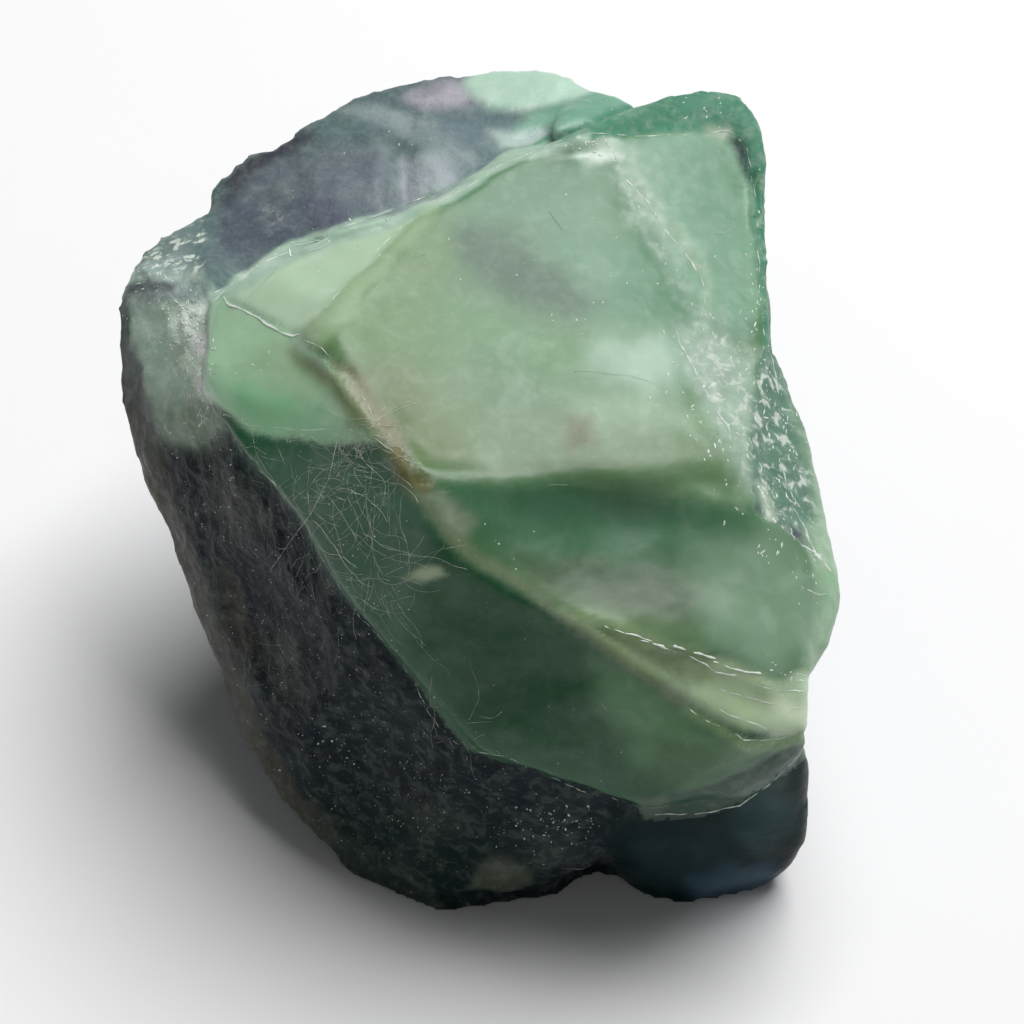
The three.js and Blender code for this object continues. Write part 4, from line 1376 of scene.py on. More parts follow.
@dataclass(frozen=True)
class FluoriteFinish:
    """The stone's skin: waxy, glassy fluorite with clouds inside, bruised edges with painted glints, and dust
    whose specks also serve as painted sparkle.
    """

    effects: Effects
    name: str
    gleam: float = 0.5
    index: float = FLUORITE_INDEX
    polish: float = 0.36
    inner_glow: float = 0.35
    glow_reach: float = 2.2
    glow_colours: tuple[float, float, float] = (0.55, 1.0, 0.75)
    cloud_colour: Colour = (205, 225, 208)
    cloud_share: float = 0.5
    frost_and_glint_colour: Colour = (205, 216, 205)
    frost_share: float = 0.4
    edge_colour: Colour = (176, 196, 168)
    edge_share: float = 0.55
    dust_colour: Colour = (150, 152, 142)
    speck_and_sparkle_colour: Colour = (208, 211, 202)
    film_share: float = 0.035
    fine_share: float = 0.4
    lying_share: float = 0.8
    painted_glint_span: tuple[float, float] = (0.55, 0.95)
    corner_dust: float = 0.3
    film_span: tuple[float, float] = (0.85, 0.15)
    grain_dulling: float = 0.04
    flake_dulling: float = -0.12
    dust_dulling: float = 0.35
    ripple_span: tuple[float, float] = (0.95, 0.05)
    relief_strength: float = 0.7
    relief_height: float = 0.1

    def material(self) -> bpy.types.Material:
        """Builds the material.

        Returns:
            The material that the stone's piece wears.
        """
        material, sheet = new_material(self.name)
        place = sheet.place()
        tint = sheet.node("ShaderNodeAttribute", "tint", attribute_name=Layer.TINT.value).outputs["Color"]
        grain, dust, frost = self.layer(sheet, Layer.SURFACE)
        edge, hollow, clear = self.layer(sheet, Layer.LIE)
        colour = self.clouded(sheet, place, tint, clear)
        colour, flakes = self.bruised(sheet, place, colour, frost, edge)
        colour, lint = self.dusted(sheet, place, colour, dust, hollow)
        shader = sheet.node("ShaderNodeBsdfPrincipled", "fluorite")
        sheet.feed(shader.inputs["Base Color"], colour)
        sheet.feed(shader.inputs["Roughness"], self.gloss(sheet, grain, flakes, lint))
        sheet.feed(shader.inputs["Normal"], self.fine_relief(sheet, place, grain))
        shader.inputs["IOR"].default_value = self.index
        shader.inputs["Specular IOR Level"].default_value = self.gleam
        shader.inputs["Subsurface Weight"].default_value = self.inner_glow
        shader.inputs["Subsurface Radius"].default_value = self.glow_colours
        shader.inputs["Subsurface Scale"].default_value = self.glow_reach / METRE
        sheet.put_out("ShaderNodeOutputMaterial", "Surface", shader.outputs[0])
        return material

    def layer(self, sheet: Sheet, layer: Layer) -> tuple[bpy.types.NodeSocket, ...]:
        """Reads a painted layer's three masks.

        Args:
            sheet: the material's sheet.
            layer: the layer to read.

        Returns:
            The three masks.
        """
        read = sheet.node("ShaderNodeAttribute", layer.value, attribute_name=layer.value)
        apart = sheet.node("ShaderNodeSeparateColor", layer.value + " apart")
        sheet.feed(apart.inputs[0], read.outputs["Color"])
        return tuple(apart.outputs)

    def clouded(
        self, sheet: Sheet, place: object, tint: object, clear: object
    ) -> bpy.types.NodeSocket:
        """Puts wisps and crystal lines into the tint.

        Args:
            sheet: the material's sheet.
            place: the place on the stone.
            tint: the painted colour.
            clear: how clear the stone is, so that its inside shows.

        Returns:
            The clouded colour.
        """
        effects = self.effects
        wisps = sheet.effect(effects.clouds, "wisps", Place=place, Size=3.6, Bend=0.8, Low=0.46, High=0.8)
        lines = sheet.effect(
            effects.traces, "crystal lines",
            Place=place, Planes=(0.15, 0.83, 0.53), Spacing=1.7, Thickness=0.035,
        )
        apart = sheet.node("ShaderNodeSeparateColor", "tint apart")
        sheet.feed(apart.inputs[0], tint)
        light = sheet.maths("how light the stone is", "MULTIPLY", apart.outputs[1], self.cloud_share)
        pale = sheet.blend("pale tint", light, tint, shade(self.cloud_colour))
        colour = sheet.blend("wisps laid in", wisps, tint, pale)
        inside = sheet.maths("in the wisps", "MULTIPLY", wisps, clear)
        line = sheet.maths("line share", "MULTIPLY", lines, inside)
        return sheet.blend("lines laid in", line, colour, pale)

    def bruised(
        self, sheet: Sheet, place: object, colour: object, frost: object, edge: object
    ) -> tuple[bpy.types.NodeSocket, bpy.types.NodeSocket]:
        """Whitens the flaky skin and the worn edges, and paints glints where the skin is flakiest.

        Args:
            sheet: the material's sheet.
            place: the place on the stone.
            colour: the colour so far.
            frost: how flaky the skin is.
            edge: how much of an edge this is.

        Returns:
            The colour, and where it is flaky.
        """
        effects = self.effects
        flake = sheet.effect(effects.clouds, "flakes", Place=place, Size=1.0, Bend=0.5, Low=0.46, High=0.66)
        broken = sheet.effect(
            effects.clouds, "broken line", Place=place, Size=1.3, Bend=0.4, Low=0.4, High=0.62
        )
        flaky = sheet.maths("flaky", "MULTIPLY", flake, frost)
        glint = sheet.ramp("glinting", flaky, *self.painted_glint_span)
        worn = sheet.maths("worn", "MULTIPLY", edge, broken)
        edges = sheet.maths("edge share", "MULTIPLY", worn, self.edge_share)
        skin = sheet.maths("flaky share", "MULTIPLY", flaky, self.frost_share)
        colour = sheet.blend("edges", edges, colour, shade(self.edge_colour))
        colour = sheet.blend("flaky skin", skin, colour, shade(self.frost_and_glint_colour))
        # Painted glints: the flakiest skin takes the frost colour as painted highlights.
        colour = sheet.blend("glints", glint, colour, shade(self.frost_and_glint_colour))
        return colour, flaky

    def dusted(
        self, sheet: Sheet, place: object, colour: object, dust: object, hollow: object
    ) -> tuple[bpy.types.NodeSocket, bpy.types.NodeSocket]:
        """Sprinkles dust and grit over the stone; its bright specks also serve as painted sparkle.

        Args:
            sheet: the material's sheet.
            place: the place on the stone.
            colour: the colour so far.
            dust: how much dust there is.
            hollow: how much of an inner corner this is.

        Returns:
            The colour, and where the dust lies.
        """
        effects = self.effects
        fine = sheet.effect(effects.specks, "fine dust", Place=place, Spacing=0.34, Radius=0.075, Share=0.4)
        coarse = sheet.effect(effects.specks, "grit", Place=place, Spacing=0.9, Radius=0.11, Share=0.35)
        film = sheet.effect(effects.clouds, "dust film", Place=place, Size=1.8, Bend=0.6, Low=0.42, High=0.68)
        gathered = sheet.maths("dust in corners", "MULTIPLY_ADD", hollow, self.corner_dust, dust)
        patchy = sheet.maths("patchy", "MULTIPLY_ADD", film, *self.film_span)
        settled = sheet.maths("settled", "MULTIPLY", gathered, patchy)
        fine_share = sheet.maths("fine share", "MULTIPLY", fine, self.fine_share)
        specks = sheet.maths("specks", "MAXIMUM", fine_share, coarse)
        lying = sheet.maths("lying dust", "MULTIPLY", specks, settled)
        filmed = sheet.maths("dust film share", "MULTIPLY", settled, self.film_share)
        speckled = sheet.maths("speck share", "MULTIPLY", lying, self.lying_share)
        colour = sheet.blend("dust film", filmed, colour, shade(self.dust_colour))
        # Bright specks: real dust, and also painted sparkle in place of the dark wall's glints.
        colour = sheet.blend("dust specks and painted sparkle", speckled, colour, shade(self.speck_and_sparkle_colour))
        return colour, lying

    def gloss(self, sheet: Sheet, grain: object, flakes: object, dust: object) -> bpy.types.NodeSocket:
        """Works out how dull the polish is.

        Args:
            sheet: the material's sheet.
            grain: how rough the break is.
            flakes: where the skin is flaky.
            dust: where dust lies.

        Returns:
            The roughness.
        """
        rough = sheet.maths("break", "MULTIPLY_ADD", grain, self.grain_dulling, self.polish)
        flaky = sheet.maths("flaky polish", "MULTIPLY_ADD", flakes, self.flake_dulling, rough)
        return sheet.maths("dusty polish", "MULTIPLY_ADD", dust, self.dust_dulling, flaky)

    def fine_relief(self, sheet: Sheet, place: object, grain: object) -> bpy.types.NodeSocket:
        """Builds the relief that is finer than the mesh.

        Args:
            sheet: the material's sheet.
            place: the place on the stone.
            grain: how rough the break is.

        Returns:
            The normal.
        """
        ripples = sheet.effect(
            self.effects.clouds, "fine ripples", Place=place, Size=0.55, Bend=0.1, Low=0.2, High=0.8
        )
        rough = sheet.maths("ripple height", "MULTIPLY_ADD", grain, *self.ripple_span)
        bump = sheet.node("ShaderNodeBump", "fine relief")
        bump.inputs["Strength"].default_value = self.relief_strength
        bump.inputs["Distance"].default_value = self.relief_height / METRE
        sheet.feed(bump.inputs["Height"], sheet.maths("ripples", "MULTIPLY", ripples, rough))
        return bump.outputs[0]


@dataclass(frozen=True)
class BruiseFinish:
    """The finish of crushed edges and loose flakes: white fluorite that light gets stuck in. The white of the
    loose flakes also stands for painted glints.
    """

    effects: Effects
    pale: Colour = (226, 234, 224)
    greenish: Colour = (192, 208, 194)
    polish: tuple[float, float] = (0.2, 0.38)

    def material(self) -> bpy.types.Material:
        """Builds the material.

        Returns:
            The material that bruised edges and flakes wear.
        """
        material, sheet = new_material("bruised fluorite")
        place = sheet.place()
        mixed = sheet.effect(
            self.effects.clouds, "mixed in", Place=place, Size=1.6, Bend=0.4, Low=0.36, High=0.62
        )
        colour = sheet.blend("bruise colour", mixed, shade(self.greenish), shade(self.pale))
        shader = sheet.node("ShaderNodeBsdfPrincipled", "crushed fluorite")
        sheet.feed(shader.inputs["Base Color"], colour)
        sheet.feed(shader.inputs["Roughness"], sheet.ramp("bruise polish", mixed, 0.0, 1.0, *self.polish))
        shader.inputs["IOR"].default_value = FLUORITE_INDEX
        sheet.put_out("ShaderNodeOutputMaterial", "Surface", shader.outputs[0])
        return material


@dataclass(frozen=True)
class LintFinish:
    """The finish of the lint: pale, soft fibres with flecks of dust."""

    effects: Effects
    colour: Colour = (232, 234, 222)
    shadow: Colour = (150, 160, 146)
    polish: tuple[float, float] = (0.55, 0.8)

    def material(self) -> bpy.types.Material:
        """Builds the material.

        Returns:
            The material that the lint wears.
        """
        material, sheet = new_material("lint")
        place = sheet.place()
        mottled = sheet.effect(
            self.effects.clouds, "mottle", Place=place, Size=0.8, Bend=0.5, Low=0.3, High=0.7
        )
        colour = sheet.blend("fibre colour", mottled, shade(self.shadow), shade(self.colour))
        shader = sheet.node("ShaderNodeBsdfPrincipled", "fibre")
        sheet.feed(shader.inputs["Base Color"], colour)
        sheet.feed(shader.inputs["Roughness"], sheet.ramp("fibre polish", mottled, 0.0, 1.0, *self.polish))
        sheet.put_out("ShaderNodeOutputMaterial", "Surface", shader.outputs[0])
        return material


class TubeMesh:
    """One mesh made of many thin tubes, each with a radius of its own at every point."""

    ASIDE = (0.31, 0.53, 0.79)
    TINY = 1e-9

    def __init__(self, sides: int) -> None:
        """Starts an empty mesh.

        Args:
            sides: how many sides a tube has.
        """
        self.turns = np.linspace(0.0, 2.0 * math.pi, sides, endpoint=False)
        self.corners: list[np.ndarray] = []
        self.faces: list[tuple[int, ...]] = []

    def add(self, path: np.ndarray, radii: np.ndarray) -> None:
        """Adds a tube.

        Args:
            path: the points that it follows, one row each.
            radii: its radius at each point.
        """
        sides, first = len(self.turns), len(self.corners)
        ahead = np.gradient(path, axis=0)
        ahead /= np.linalg.norm(ahead, axis=1, keepdims=True) + self.TINY
        left = np.cross(ahead, self.ASIDE)
        left /= np.linalg.norm(left, axis=1, keepdims=True) + self.TINY
        beside = np.cross(ahead, left)
        rings = np.multiply.outer(np.cos(self.turns), left) + np.multiply.outer(np.sin(self.turns), beside)
        rings = path[:, None, :] + radii[:, None, None] * rings.transpose(1, 0, 2)
        self.corners.extend(rings.reshape(-1, 3))
        for ring in range(len(path) - 1):
            low = first + ring * sides
            for corner in range(sides):
                after = (corner + 1) % sides
                self.faces.append((low + corner, low + after, low + after + sides, low + corner + sides))
        last = first + (len(path) - 1) * sides
        self.faces.append(tuple(range(first + sides - 1, first - 1, -1)))
        self.faces.append(tuple(range(last, last + sides)))

    def piece(self, name: str) -> bpy.types.Object:
        """Makes the piece.

        Args:
            name: its name.

        Returns:
            The piece, without a material.
        """
        mesh = bpy.data.meshes.new(name)
        mesh.from_pydata([tuple(corner / METRE) for corner in self.corners], [], self.faces)
        return place_piece(name, mesh)


@dataclass(frozen=True)
class Bruise:
    """A crushed edge or crack: the line that it shows along, its half width, and how unbroken it is."""

    path: Outline
    radius: float = 0.1
    whole: float = 0.6


@dataclass(frozen=True)
class FlakeSpot:
    """A place of loose flakes: its middle and reach as it shows, their count, length and main direction."""

    across: float
    up: float
    wide: float
    high: float
    count: int
    length: float = 0.4
    lean: float = 90.0
    scatter: float = 50.0


# The white, crushed edges and cracks on the front, from the left over the top to the right and down.
BRUISES = (
    Bruise(((-23.7, 17.6), (-21.8, 18.6), (-20.0, 20.0), (-17.8, 20.8)), 0.09, 0.7),
    Bruise(((-17.9, 21.5), (-16.5, 21.6), (-14.7, 22.4), (-12.2, 23.2), (-9.0, 24.5), (-6.4, 25.4)),
           0.07, 0.5),
    Bruise(((-17.8, 21.3), (-16.3, 21.5), (-14.8, 21.8), (-14.6, 21.4), (-16.3, 20.8), (-17.8, 20.4),
            (-17.9, 21.2)), 0.08, 0.95),
    Bruise(((-23.2, 17.6), (-22.7, 16.7), (-20.2, 15.4), (-17.6, 14.0), (-17.0, 14.2)), 0.15, 0.95),
    Bruise(((-6.7, 24.3), (-9.0, 22.7), (-11.4, 20.3), (-13.8, 17.6), (-17.0, 14.2)), 0.05, 0.15),
    Bruise(((-17.0, 14.0), (-15.2, 13.0), (-13.4, 11.2), (-11.7, 8.8), (-9.9, 6.1), (-8.6, 4.0)), 0.06, 0.3),
    Bruise(((-6.1, 24.7), (-3.4, 26.1), (-1.0, 27.7), (1.2, 28.6), (3.8, 29.7), (6.3, 30.3),
            (7.8, 30.2)), 0.08, 0.6),
    Bruise(((7.8, 30.2), (11.0, 30.1), (14.2, 30.2), (17.3, 30.5), (18.4, 29.6)), 0.06, 0.35),
    Bruise(((7.4, 29.9), (8.5, 27.8), (9.6, 26.2), (10.9, 24.6), (12.3, 22.6), (13.8, 20.7),
            (15.0, 19.2)), 0.13, 0.45),
    Bruise(((15.0, 19.2), (15.4, 17.0), (15.0, 13.8), (15.5, 10.6)), 0.07, 0.2),
    Bruise(((18.4, 29.8), (19.2, 27.4), (19.6, 24.2), (19.7, 20.0), (20.0, 15.4), (20.2, 13.0)), 0.06, 0.25),
    Bruise(((-23.2, 7.8), (-21.0, 7.0), (-17.8, 6.6), (-15.4, 6.6), (-13.0, 6.6), (-11.2, 6.1),
            (-9.6, 4.8)), 0.035, 0.7),
    Bruise(((-22.1, 5.3), (-19.5, 2.7), (-17.0, -0.6), (-15.2, -3.5), (-13.8, -6.2), (-11.5, -9.1),
            (-9.0, -12.0), (-7.0, -15.2), (-5.4, -18.1)), 0.045, 0.35),
    Bruise(((-5.4, -18.1), (-2.6, -19.2), (0.1, -19.8), (3.8, -21.6), (7.0, -22.7), (8.8, -23.2),
            (10.2, -23.5)), 0.045, 0.35),
    Bruise(((11.4, -24.2), (13.4, -24.2), (15.8, -24.0), (18.2, -23.5), (20.5, -21.9), (22.2, -20.2),
            (23.4, -19.0)), 0.09, 0.75),
    Bruise(((14.2, -15.7), (16.2, -17.0), (18.6, -18.2), (21.1, -18.2), (23.4, -17.7)), 0.07, 0.45),
    Bruise(((7.4, -9.1), (9.6, -9.8), (11.8, -10.7), (14.1, -11.5), (16.3, -12.8), (18.6, -13.1)),
           0.09, 0.55),
    Bruise(((19.8, 2.2), (20.2, 1.1), (20.6, 0.0), (21.1, -1.0)), 0.24, 0.9),
    Bruise(((20.5, 12.8), (21.1, 11.2), (21.4, 9.3)), 0.09, 0.5),
    Bruise(((-13.9, 5.8), (-12.2, 4.8), (-10.6, 5.1)), 0.03, 0.4),
    Bruise(((10.2, -10.2), (11.2, -10.4), (12.3, -10.9)), 0.1, 0.85),
    Bruise(((12.8, -10.7), (15.0, -11.3), (16.3, -11.8)), 0.14, 0.85),
    Bruise(((16.0, -12.0), (18.1, -12.6), (20.0, -13.0)), 0.12, 0.85),
    Bruise(((15.0, -14.9), (18.2, -16.6), (21.1, -17.6)), 0.06, 0.6),
    Bruise(((16.6, -14.1), (19.8, -15.2), (23.5, -15.8)), 0.07, 0.6),
    Bruise(((18.4, -13.6), (21.1, -14.2), (23.5, -14.4)), 0.07, 0.55),
    Bruise(((22.4, 0.3), (23.4, -1.3), (24.2, -2.9), (24.8, -4.0)), 0.16, 0.75),
    Bruise(((23.0, -2.5), (24.5, -3.5), (25.6, -4.8)), 0.12, 0.65),
    Bruise(((23.5, -6.2), (24.6, -6.7), (25.6, -6.4)), 0.08, 0.6),
    Bruise(((21.6, 3.4), (22.4, 1.6), (23.0, 0.2)), 0.1, 0.6),
    Bruise(((15.5, 9.9), (16.3, 8.2), (17.3, 6.6), (17.8, 4.8)), 0.12, 0.5),
    Bruise(((13.1, 14.6), (13.8, 13.0), (14.6, 11.2), (15.7, 9.6)), 0.14, 0.5),
)

# Loose flakes and glints on the front.
FLAKES = (
    FlakeSpot(-25.8, 14.4, 0.7, 1.3, 120, 0.4, 60.0),
    FlakeSpot(-25.0, 10.0, 0.5, 1.3, 90, 0.45, 110.0),
    FlakeSpot(-27.0, 13.0, 1.6, 3.0, 50, 0.22, 60.0),
    FlakeSpot(-28.8, 18.2, 1.4, 1.2, 36, 0.35, 30.0),
    FlakeSpot(-20.5, 11.8, 1.6, 1.2, 10, 0.2, 20.0),
    FlakeSpot(-14.0, 19.0, 3.0, 1.2, 12, 0.2, 30.0),
    FlakeSpot(-9.5, 20.5, 3.0, 1.2, 16, 0.2, 35.0),
    FlakeSpot(6.2, 29.4, 0.9, 0.6, 20, 0.4, 40.0),
    FlakeSpot(15.0, 12.6, 2.0, 2.4, 60, 0.3, 115.0),
    FlakeSpot(17.4, 7.2, 1.6, 3.4, 90, 0.35, 110.0, 35.0),
    FlakeSpot(20.6, 8.0, 0.8, 4.0, 70, 0.4, 100.0, 25.0),
    FlakeSpot(22.0, 2.5, 0.9, 3.0, 70, 0.4, 105.0, 25.0),
    FlakeSpot(19.6, 17.0, 0.4, 5.0, 40, 0.25, 95.0, 25.0),
    FlakeSpot(20.4, -2.9, 0.6, 0.5, 10, 0.45, 90.0, 25.0),
    FlakeSpot(24.2, -5.0, 0.8, 2.6, 30, 0.3, 110.0, 25.0),
    FlakeSpot(22.4, -13.6, 1.0, 0.8, 26, 0.35, 20.0, 25.0),
    FlakeSpot(15.0, 32.4, 2.6, 0.6, 22, 0.22, 20.0),
    FlakeSpot(11.0, 20.0, 4.0, 3.0, 16, 0.18, 60.0),
    FlakeSpot(5.5, 16.5, 2.0, 2.0, 20, 0.18, 60.0),
    FlakeSpot(3.2, -24.8, 2.0, 0.9, 90, 0.2, 40.0),
    FlakeSpot(-15.0, -19.0, 2.2, 0.7, 22, 0.18, 10.0),
    FlakeSpot(-18.0, -12.0, 5.0, 6.0, 320, 0.11, 60.0),
    FlakeSpot(-8.0, -22.0, 6.0, 3.5, 300, 0.11, 60.0),
    FlakeSpot(-16.0, -4.0, 3.0, 4.0, 160, 0.1, 60.0),
    FlakeSpot(-23.0, 2.0, 2.5, 3.5, 120, 0.12, 60.0),
    FlakeSpot(-1.5, -2.9, 1.6, 1.4, 10, 0.16, 60.0),
    FlakeSpot(-9.5, 29.4, 3.0, 1.5, 10, 0.2, 60.0),
    FlakeSpot(-14.5, 24.4, 2.0, 1.5, 8, 0.25, 90.0),
)


@dataclass
class BruisedEdges:
    """The white line of crushed fluorite on worn edges, and the flakes that stand beside it."""

    sight: Sight
    step: float = 0.14
    sunk: float = 0.45
    thickest: float = 0.11
    sides: int = 5
    thinnest: float = 0.08
    longest_gap: float = 6.0
    tip: float = 0.3
    spans: tuple[float, ...] = (-0.5, -0.2, 0.15, 0.5)
    slimness: tuple[float, float] = (0.22, 0.48)
    longest: float = 2.0
    length_share: float = 0.85
    length_spread: float = 0.6

    def build(self, stone: bpy.types.Object) -> bpy.types.Object:
        """Lays the bruises and flakes on the stone.

        Args:
            stone: the finished stone.

        Returns:
            The piece that holds them all.
        """
        tree = Skin(stone.data).tree()
        draw = np.random.default_rng(BRUISE_SEED)
        tubes = TubeMesh(self.sides)
        for bruise in BRUISES:
            self.line(tree, bruise, draw, tubes)
        for spot in FLAKES:
            for _ in range(spot.count):
                self.flake(tree, spot, draw, tubes)
        return tubes.piece("bruised_edges")

    def landing(self, tree: BVHTree, across: float, up: float) -> tuple[np.ndarray, np.ndarray] | None:
        """Finds the place on the stone that shows at a spot.

        Args:
            tree: the stone's surface.
            across: how far right of the aim the spot is.
            up: how far above the aim it is.

        Returns:
            The place and the way that the surface faces there, or None beside the stone.
        """
        place, normal = tree.ray_cast(Vector(self.sight.eye()), self.sight.toward(across, up))[:2]
        return (np.array(place), np.array(normal)) if place else None

    def line(self, tree: BVHTree, bruise: Bruise, draw: np.random.Generator, tubes: TubeMesh) -> None:
        """Lays one bruise, in stretches that thin out where it is broken.

        Args:
            tree: the stone's surface.
            bruise: the bruise.
            draw: the source of its chances.
            tubes: the mesh that it joins.
        """
        stops = np.array(bruise.path)
        lengths = np.concatenate([[0.0], np.cumsum(np.linalg.norm(np.diff(stops, axis=0), axis=1))])
        marks = np.arange(0.0, lengths[-1], self.step)
        phases = draw.uniform(0.0, 2.0 * math.pi, 6)
        sway = 0.09 * np.sin(marks * 1.3 + phases[0]) + 0.03 * np.sin(marks * 4.1 + phases[1])
        width = np.sin(marks * 2.3 + phases[2]) + np.sin(marks * 5.1 + phases[3])
        width = width + np.sin(marks * 0.9 + phases[4])
        thickness = np.clip(width / 3.0 + bruise.whole, 0.0, 1.0) * draw.uniform(0.75, 1.2, len(marks))
        places, radii = [], []
        for mark, side, thick in zip(marks, sway, thickness):
            across, up = (np.interp(mark, lengths, stops[:, axis]) for axis in (0, 1))
            found = self.landing(tree, across + side, up + 0.6 * side)
            joined = bool(places) and found is not None
            jumps = joined and np.linalg.norm(found[0] - places[-1]) > self.longest_gap * self.step
            if found is None or thick < self.thinnest or jumps:
                self.close(places, radii, tubes)
                places, radii = [], []
            if found is not None and thick >= self.thinnest:
                radius = bruise.radius * thick
                places.append(found[0] - found[1] * radius * self.sunk)
                radii.append(radius)
        self.close(places, radii, tubes)

    def close(self, places: list[np.ndarray], radii: list[float], tubes: TubeMesh) -> None:
        """Ends a stretch of a bruise, which runs out to a point on both sides.

        Args:
            places: the stretch's points.
            radii: its radius at each.
            tubes: the mesh that it joins.
        """
        if len(places) > 2:
            radii = [self.tip * radii[0], *radii[1:-1], self.tip * radii[-1]]
            tubes.add(np.array(places), np.array(radii))

    def flake(self, tree: BVHTree, spot: FlakeSpot, draw: np.random.Generator, tubes: TubeMesh) -> None:
        """Lays one flake.

        Args:
            tree: the stone's surface.
            spot: where it lies.
            draw: the source of its chances.
            tubes: the mesh that it joins.
        """
        across, up = draw.normal((spot.across, spot.up), (spot.wide, spot.high))
        lean = math.radians(draw.normal(spot.lean, spot.scatter))
        length = self.length_share * spot.length * min(draw.lognormal(0.0, self.length_spread), self.longest)
        turn = math.cos(lean), math.sin(lean)
        spots = [
            (across + side * length * turn[0], up + side * length * turn[1]) for side in self.spans
        ]
        ends = [self.landing(tree, *place) for place in spots]
        if all(end is not None for end in ends) and np.linalg.norm(ends[0][0] - ends[-1][0]) < 3.0 * length:
            thick = min(length * draw.uniform(*self.slimness), self.thickest)
            radii = thick * np.array([0.25, draw.uniform(0.7, 1.0), draw.uniform(0.6, 1.0), 0.2])
            tubes.add(np.array([place - normal * thick * self.sunk for place, normal in ends]), radii)


@dataclass(frozen=True)
class LintSpot:
    """A place where lint lies: its middle as it shows, its reach, and how many fibres cross it."""

    across: float
    up: float
    reach: float
    fibres: int


@dataclass
class Lint:
    """The dust fibres that lie in a loose net on the stone, and one long straight hair."""

    sight: Sight
    spots: tuple[LintSpot, ...] = (
        LintSpot(-13.6, 2.0, 3.6, 80),
        LintSpot(-11.0, -5.5, 2.8, 50),
        LintSpot(-20.5, 5.0, 3.0, 14),
        LintSpot(-12.4, 4.9, 1.7, 60),
        LintSpot(-17.0, -4.5, 2.6, 26),
        LintSpot(-18.5, -13.0, 4.0, 10),
        LintSpot(-4.0, -17.0, 3.0, 14),
    )
    strays: int = 60
    step: float = 0.22
    curl: float = 0.035
    wander: float = 0.12
    radius: float = 0.0075
    hair_radius: float = 0.02
    sides: int = 3
    lengths: tuple[int, ...] = (5, 6, 8, 10, 14, 20, 32)
    lift: float = 0.05
    stray_height: float = 3.0
    spread: float = 0.55
    hair_points: int = 44
    hair_passes: int = 60
    hair_rise: float = 0.5
    hair: Outline = ((-13.9, 5.8), (-14.6, 2.6), (-16.0, -0.1), (-17.9, -2.7), (-19.3, -4.7))

    def build(self, stone: bpy.types.Object) -> bpy.types.Object:
        """Lays the fibres on the stone.

        Args:
            stone: the finished stone.

        Returns:
            The lint's piece, one mesh of thin tubes.
        """
        draw = np.random.default_rng(LINT_SEED)
        skin = Skin(stone.data)
        tree = skin.tree()
        eye = Vector(self.sight.eye())
        paths = []
        for spot in self.spots:
            for _ in range(spot.fibres):
                across, up = draw.normal((spot.across, spot.up), spot.reach * self.spread)
                start = tree.ray_cast(eye, self.sight.toward(across, up))[0]
                if start:
                    paths.append(self.fibre(tree, start, draw))
        for index in draw.integers(0, len(skin.points), self.strays):
            if skin.points[index][2] > self.stray_height:
                paths.append(self.fibre(tree, Vector(skin.points[index]), draw))
        tubes = TubeMesh(self.sides)
        for path in paths:
            tubes.add(path, np.full(len(path), self.radius * draw.uniform(0.7, 1.5)))
        hair = self.straight_hair(tree, eye)
        tubes.add(hair, np.full(len(hair), self.hair_radius))
        return tubes.piece("lint")

    def fibre(self, tree: BVHTree, start: Vector, draw: np.random.Generator) -> np.ndarray:
        """Walks one fibre over the stone.

        Args:
            tree: the stone's surface.
            start: where the fibre starts.
            draw: the source of its chances.

        Returns:
            The fibre's points, one row each.
        """
        place, normal = tree.find_nearest(start)[:2]
        heading = Vector(draw.normal(size=3))
        curl = draw.normal(0.0, self.curl)
        points = []
        for _ in range(int(draw.choice(self.lengths))):
            points.append(place + normal * self.lift * draw.uniform(0.8, 2.2))
            heading = (heading - normal * heading.dot(normal)).normalized()
            heading = Matrix.Rotation(curl + draw.normal(0.0, self.wander), 3, normal) @ heading
            place, normal = tree.find_nearest(place + heading * self.step)[:2]
        return np.array(points)

    def straight_hair(self, tree: BVHTree, eye: Vector) -> np.ndarray:
        """Lays the long hair down the wall.

        Args:
            tree: the stone's surface.
            eye: where it is seen from.

        Returns:
            The hair's points, one row each.
        """
        stops = np.array(self.hair)
        spots = np.linspace(0.0, len(stops) - 1.0, self.hair_points)
        laid = []
        for across, up in zip(*(np.interp(spots, range(len(stops)), stops[:, side]) for side in (0, 1))):
            place, normal = tree.ray_cast(eye, self.sight.toward(across, up))[:2]
            laid.append(np.array(place + normal * self.lift * 2.0))
        return self.taut(np.array(laid), self.sight.axes()[2])

    def taut(self, points: np.ndarray, near: np.ndarray) -> np.ndarray:
        """Pulls a line straight where it would dip into small hollows.

        Args:
            points: the line's points on the stone, one row each.
            near: the direction in which it may lift off.

        Returns:
            The tightened line, one row each.
        """
        depth = points @ near
        high = depth.copy()
        for _ in range(self.hair_passes):
            middle = 0.5 * (high[:-2] + high[2:])
            high[1:-1] = np.maximum(depth[1:-1], np.minimum(middle, depth[1:-1] + self.hair_rise))
        return points + np.outer(high - depth, near)


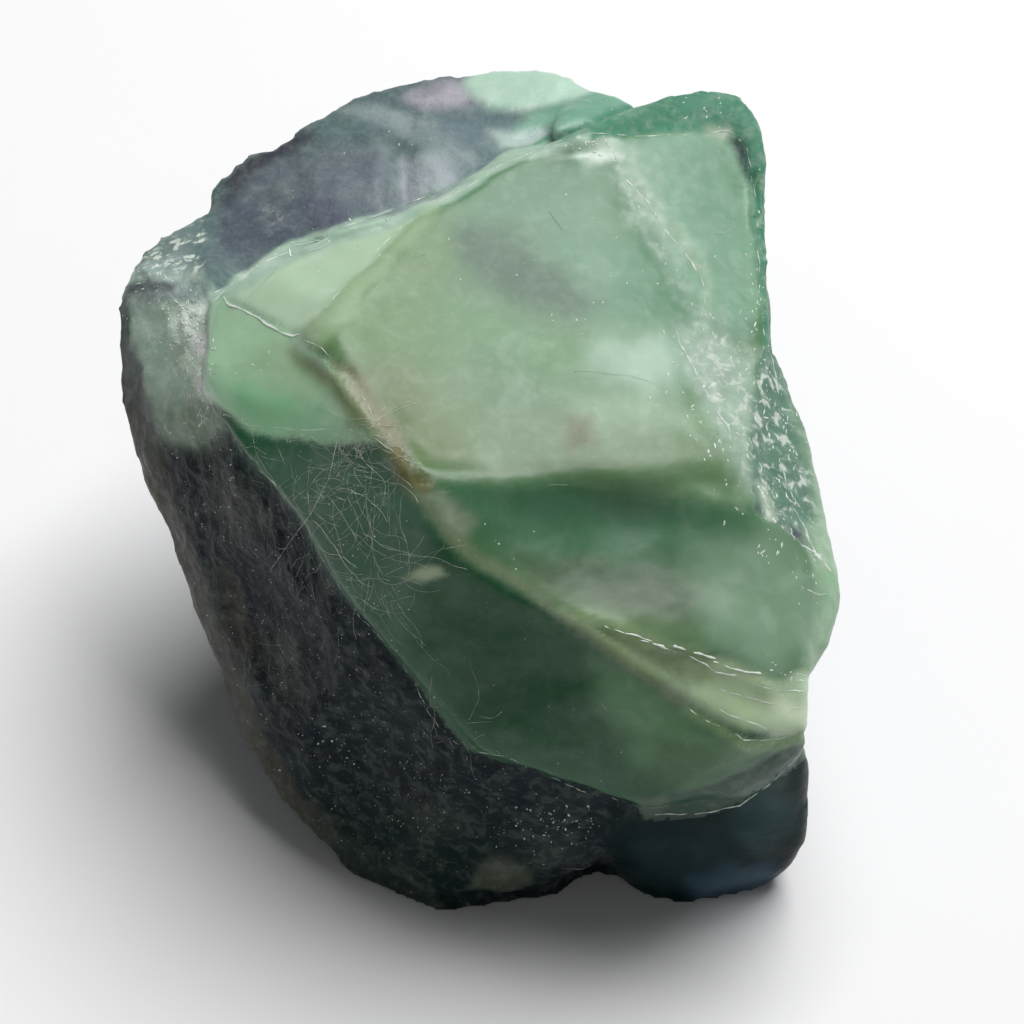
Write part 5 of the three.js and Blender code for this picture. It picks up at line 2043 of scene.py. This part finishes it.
@dataclass
class Studio:
    """A pale floor under soft light that falls from the right and from a little behind."""

    floor_reach: float = 1.6
    floor_colour: Colour = (246, 246, 247)
    floor_pale: Colour = (248, 248, 249)
    floor_polish: float = 0.9
    floor_gleam: float = 0.1
    lit_spot: tuple[float, float, float] = (0.0, 0.0, 0.02)
    sky_strength: float = 0.07
    key_place: tuple[float, float, float] = (0.28, 0.34, 1.0)
    key_size: float = 0.78
    key_power: float = 14.0
    fill_place: tuple[float, float, float] = (-0.1, -0.7, 0.75)
    fill_size: float = 0.6
    fill_power: float = 0.3

    def build(self, effects: Effects) -> bpy.types.Object:
        """Sets the floor and the lights.

        Args:
            effects: the shared effects, for the floor's faint unevenness.

        Returns:
            The floor.
        """
        self.sky()
        self.lamp("key light", self.key_place, self.key_size, self.key_power)
        self.lamp("fill light", self.fill_place, self.fill_size, self.fill_power)
        bpy.context.scene.view_settings.view_transform = "Standard"
        return self.floor(effects)

    def floor(self, effects: Effects) -> bpy.types.Object:
        """Lays the floor.

        Args:
            effects: the shared effects.

        Returns:
            The floor's piece.
        """
        reach = self.floor_reach
        mesh = bpy.data.meshes.new("floor")
        corners = [(-reach, -reach, 0), (reach, -reach, 0), (reach, reach, 0), (-reach, reach, 0)]
        mesh.from_pydata(corners, [], [(0, 1, 2, 3)])
        floor = place_piece("floor", mesh)
        material, sheet = new_material("pale paper")
        uneven = sheet.effect(
            effects.clouds, "faint unevenness", Place=sheet.place(), Size=60.0, Bend=0.3, Low=0.2, High=0.8
        )
        shader = sheet.node("ShaderNodeBsdfPrincipled", "paper")
        colour = sheet.blend("paper colour", uneven, shade(self.floor_colour), shade(self.floor_pale))
        sheet.feed(shader.inputs["Base Color"], colour)
        shader.inputs["Roughness"].default_value = self.floor_polish
        shader.inputs["Specular IOR Level"].default_value = self.floor_gleam
        sheet.put_out("ShaderNodeOutputMaterial", "Surface", shader.outputs[0])
        mesh.materials.append(material)
        return floor

    def sky(self) -> None:
        """Lights everything evenly from all round."""
        world = bpy.data.worlds.new("studio")
        world.use_nodes = True
        light = world.node_tree.nodes["Background"]
        light.inputs["Color"].default_value = (1.0, 1.0, 1.0, 1.0)
        light.inputs["Strength"].default_value = self.sky_strength
        bpy.context.scene.world = world

    def lamp(self, name: str, place: tuple[float, float, float], size: float, power: float) -> None:
        """Hangs a square soft light that looks at the stone.

        Args:
            name: the light's name.
            place: where it hangs, in metres.
            size: the length of its side, in metres.
            power: its power in watts.
        """
        light = bpy.data.lights.new(name, "AREA")
        light.shape, light.size, light.energy = "SQUARE", size, power
        lamp = bpy.data.objects.new(name, light)
        lamp.location = place
        aim = Vector(self.lit_spot) - Vector(place)
        lamp.rotation_euler = aim.to_track_quat("-Z", "Y").to_euler()
        bpy.context.scene.collection.objects.link(lamp)


def main() -> None:
    """Builds the studio, the stone, its bruised edges and the lint, in that order."""
    logging.basicConfig(level=logging.INFO, format="%(name)s: %(message)s")
    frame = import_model()
    effects = Effects()
    sight = Sight()
    sight.camera()
    Studio().build(effects)
    LOG.info("studio and camera are set")

    clear = FluoriteFinish(effects, "clear fluorite").material()
    dark = FluoriteFinish(effects, "dark fluorite", gleam=0.1, inner_glow=0.0).material()
    stone = FluoriteStone(sight).build(frame["nodes"][STONE_NODE], clear, dark)
    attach(stone, BODY)
    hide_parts(STONE_NODE)
    LOG.info("%s: %d points", stone.name, len(stone.data.vertices))

    bruises = BruisedEdges(sight).build(stone)
    bruises.data.materials.append(BruiseFinish(effects).material())
    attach(bruises, BODY)
    LOG.info("%s: %d points", bruises.name, len(bruises.data.vertices))

    lint = Lint(sight).build(stone)
    lint.data.materials.append(LintFinish(effects).material())
    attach(lint, BODY)
    LOG.info("%s: %d points", lint.name, len(lint.data.vertices))


if __name__ == "__main__":
    main()
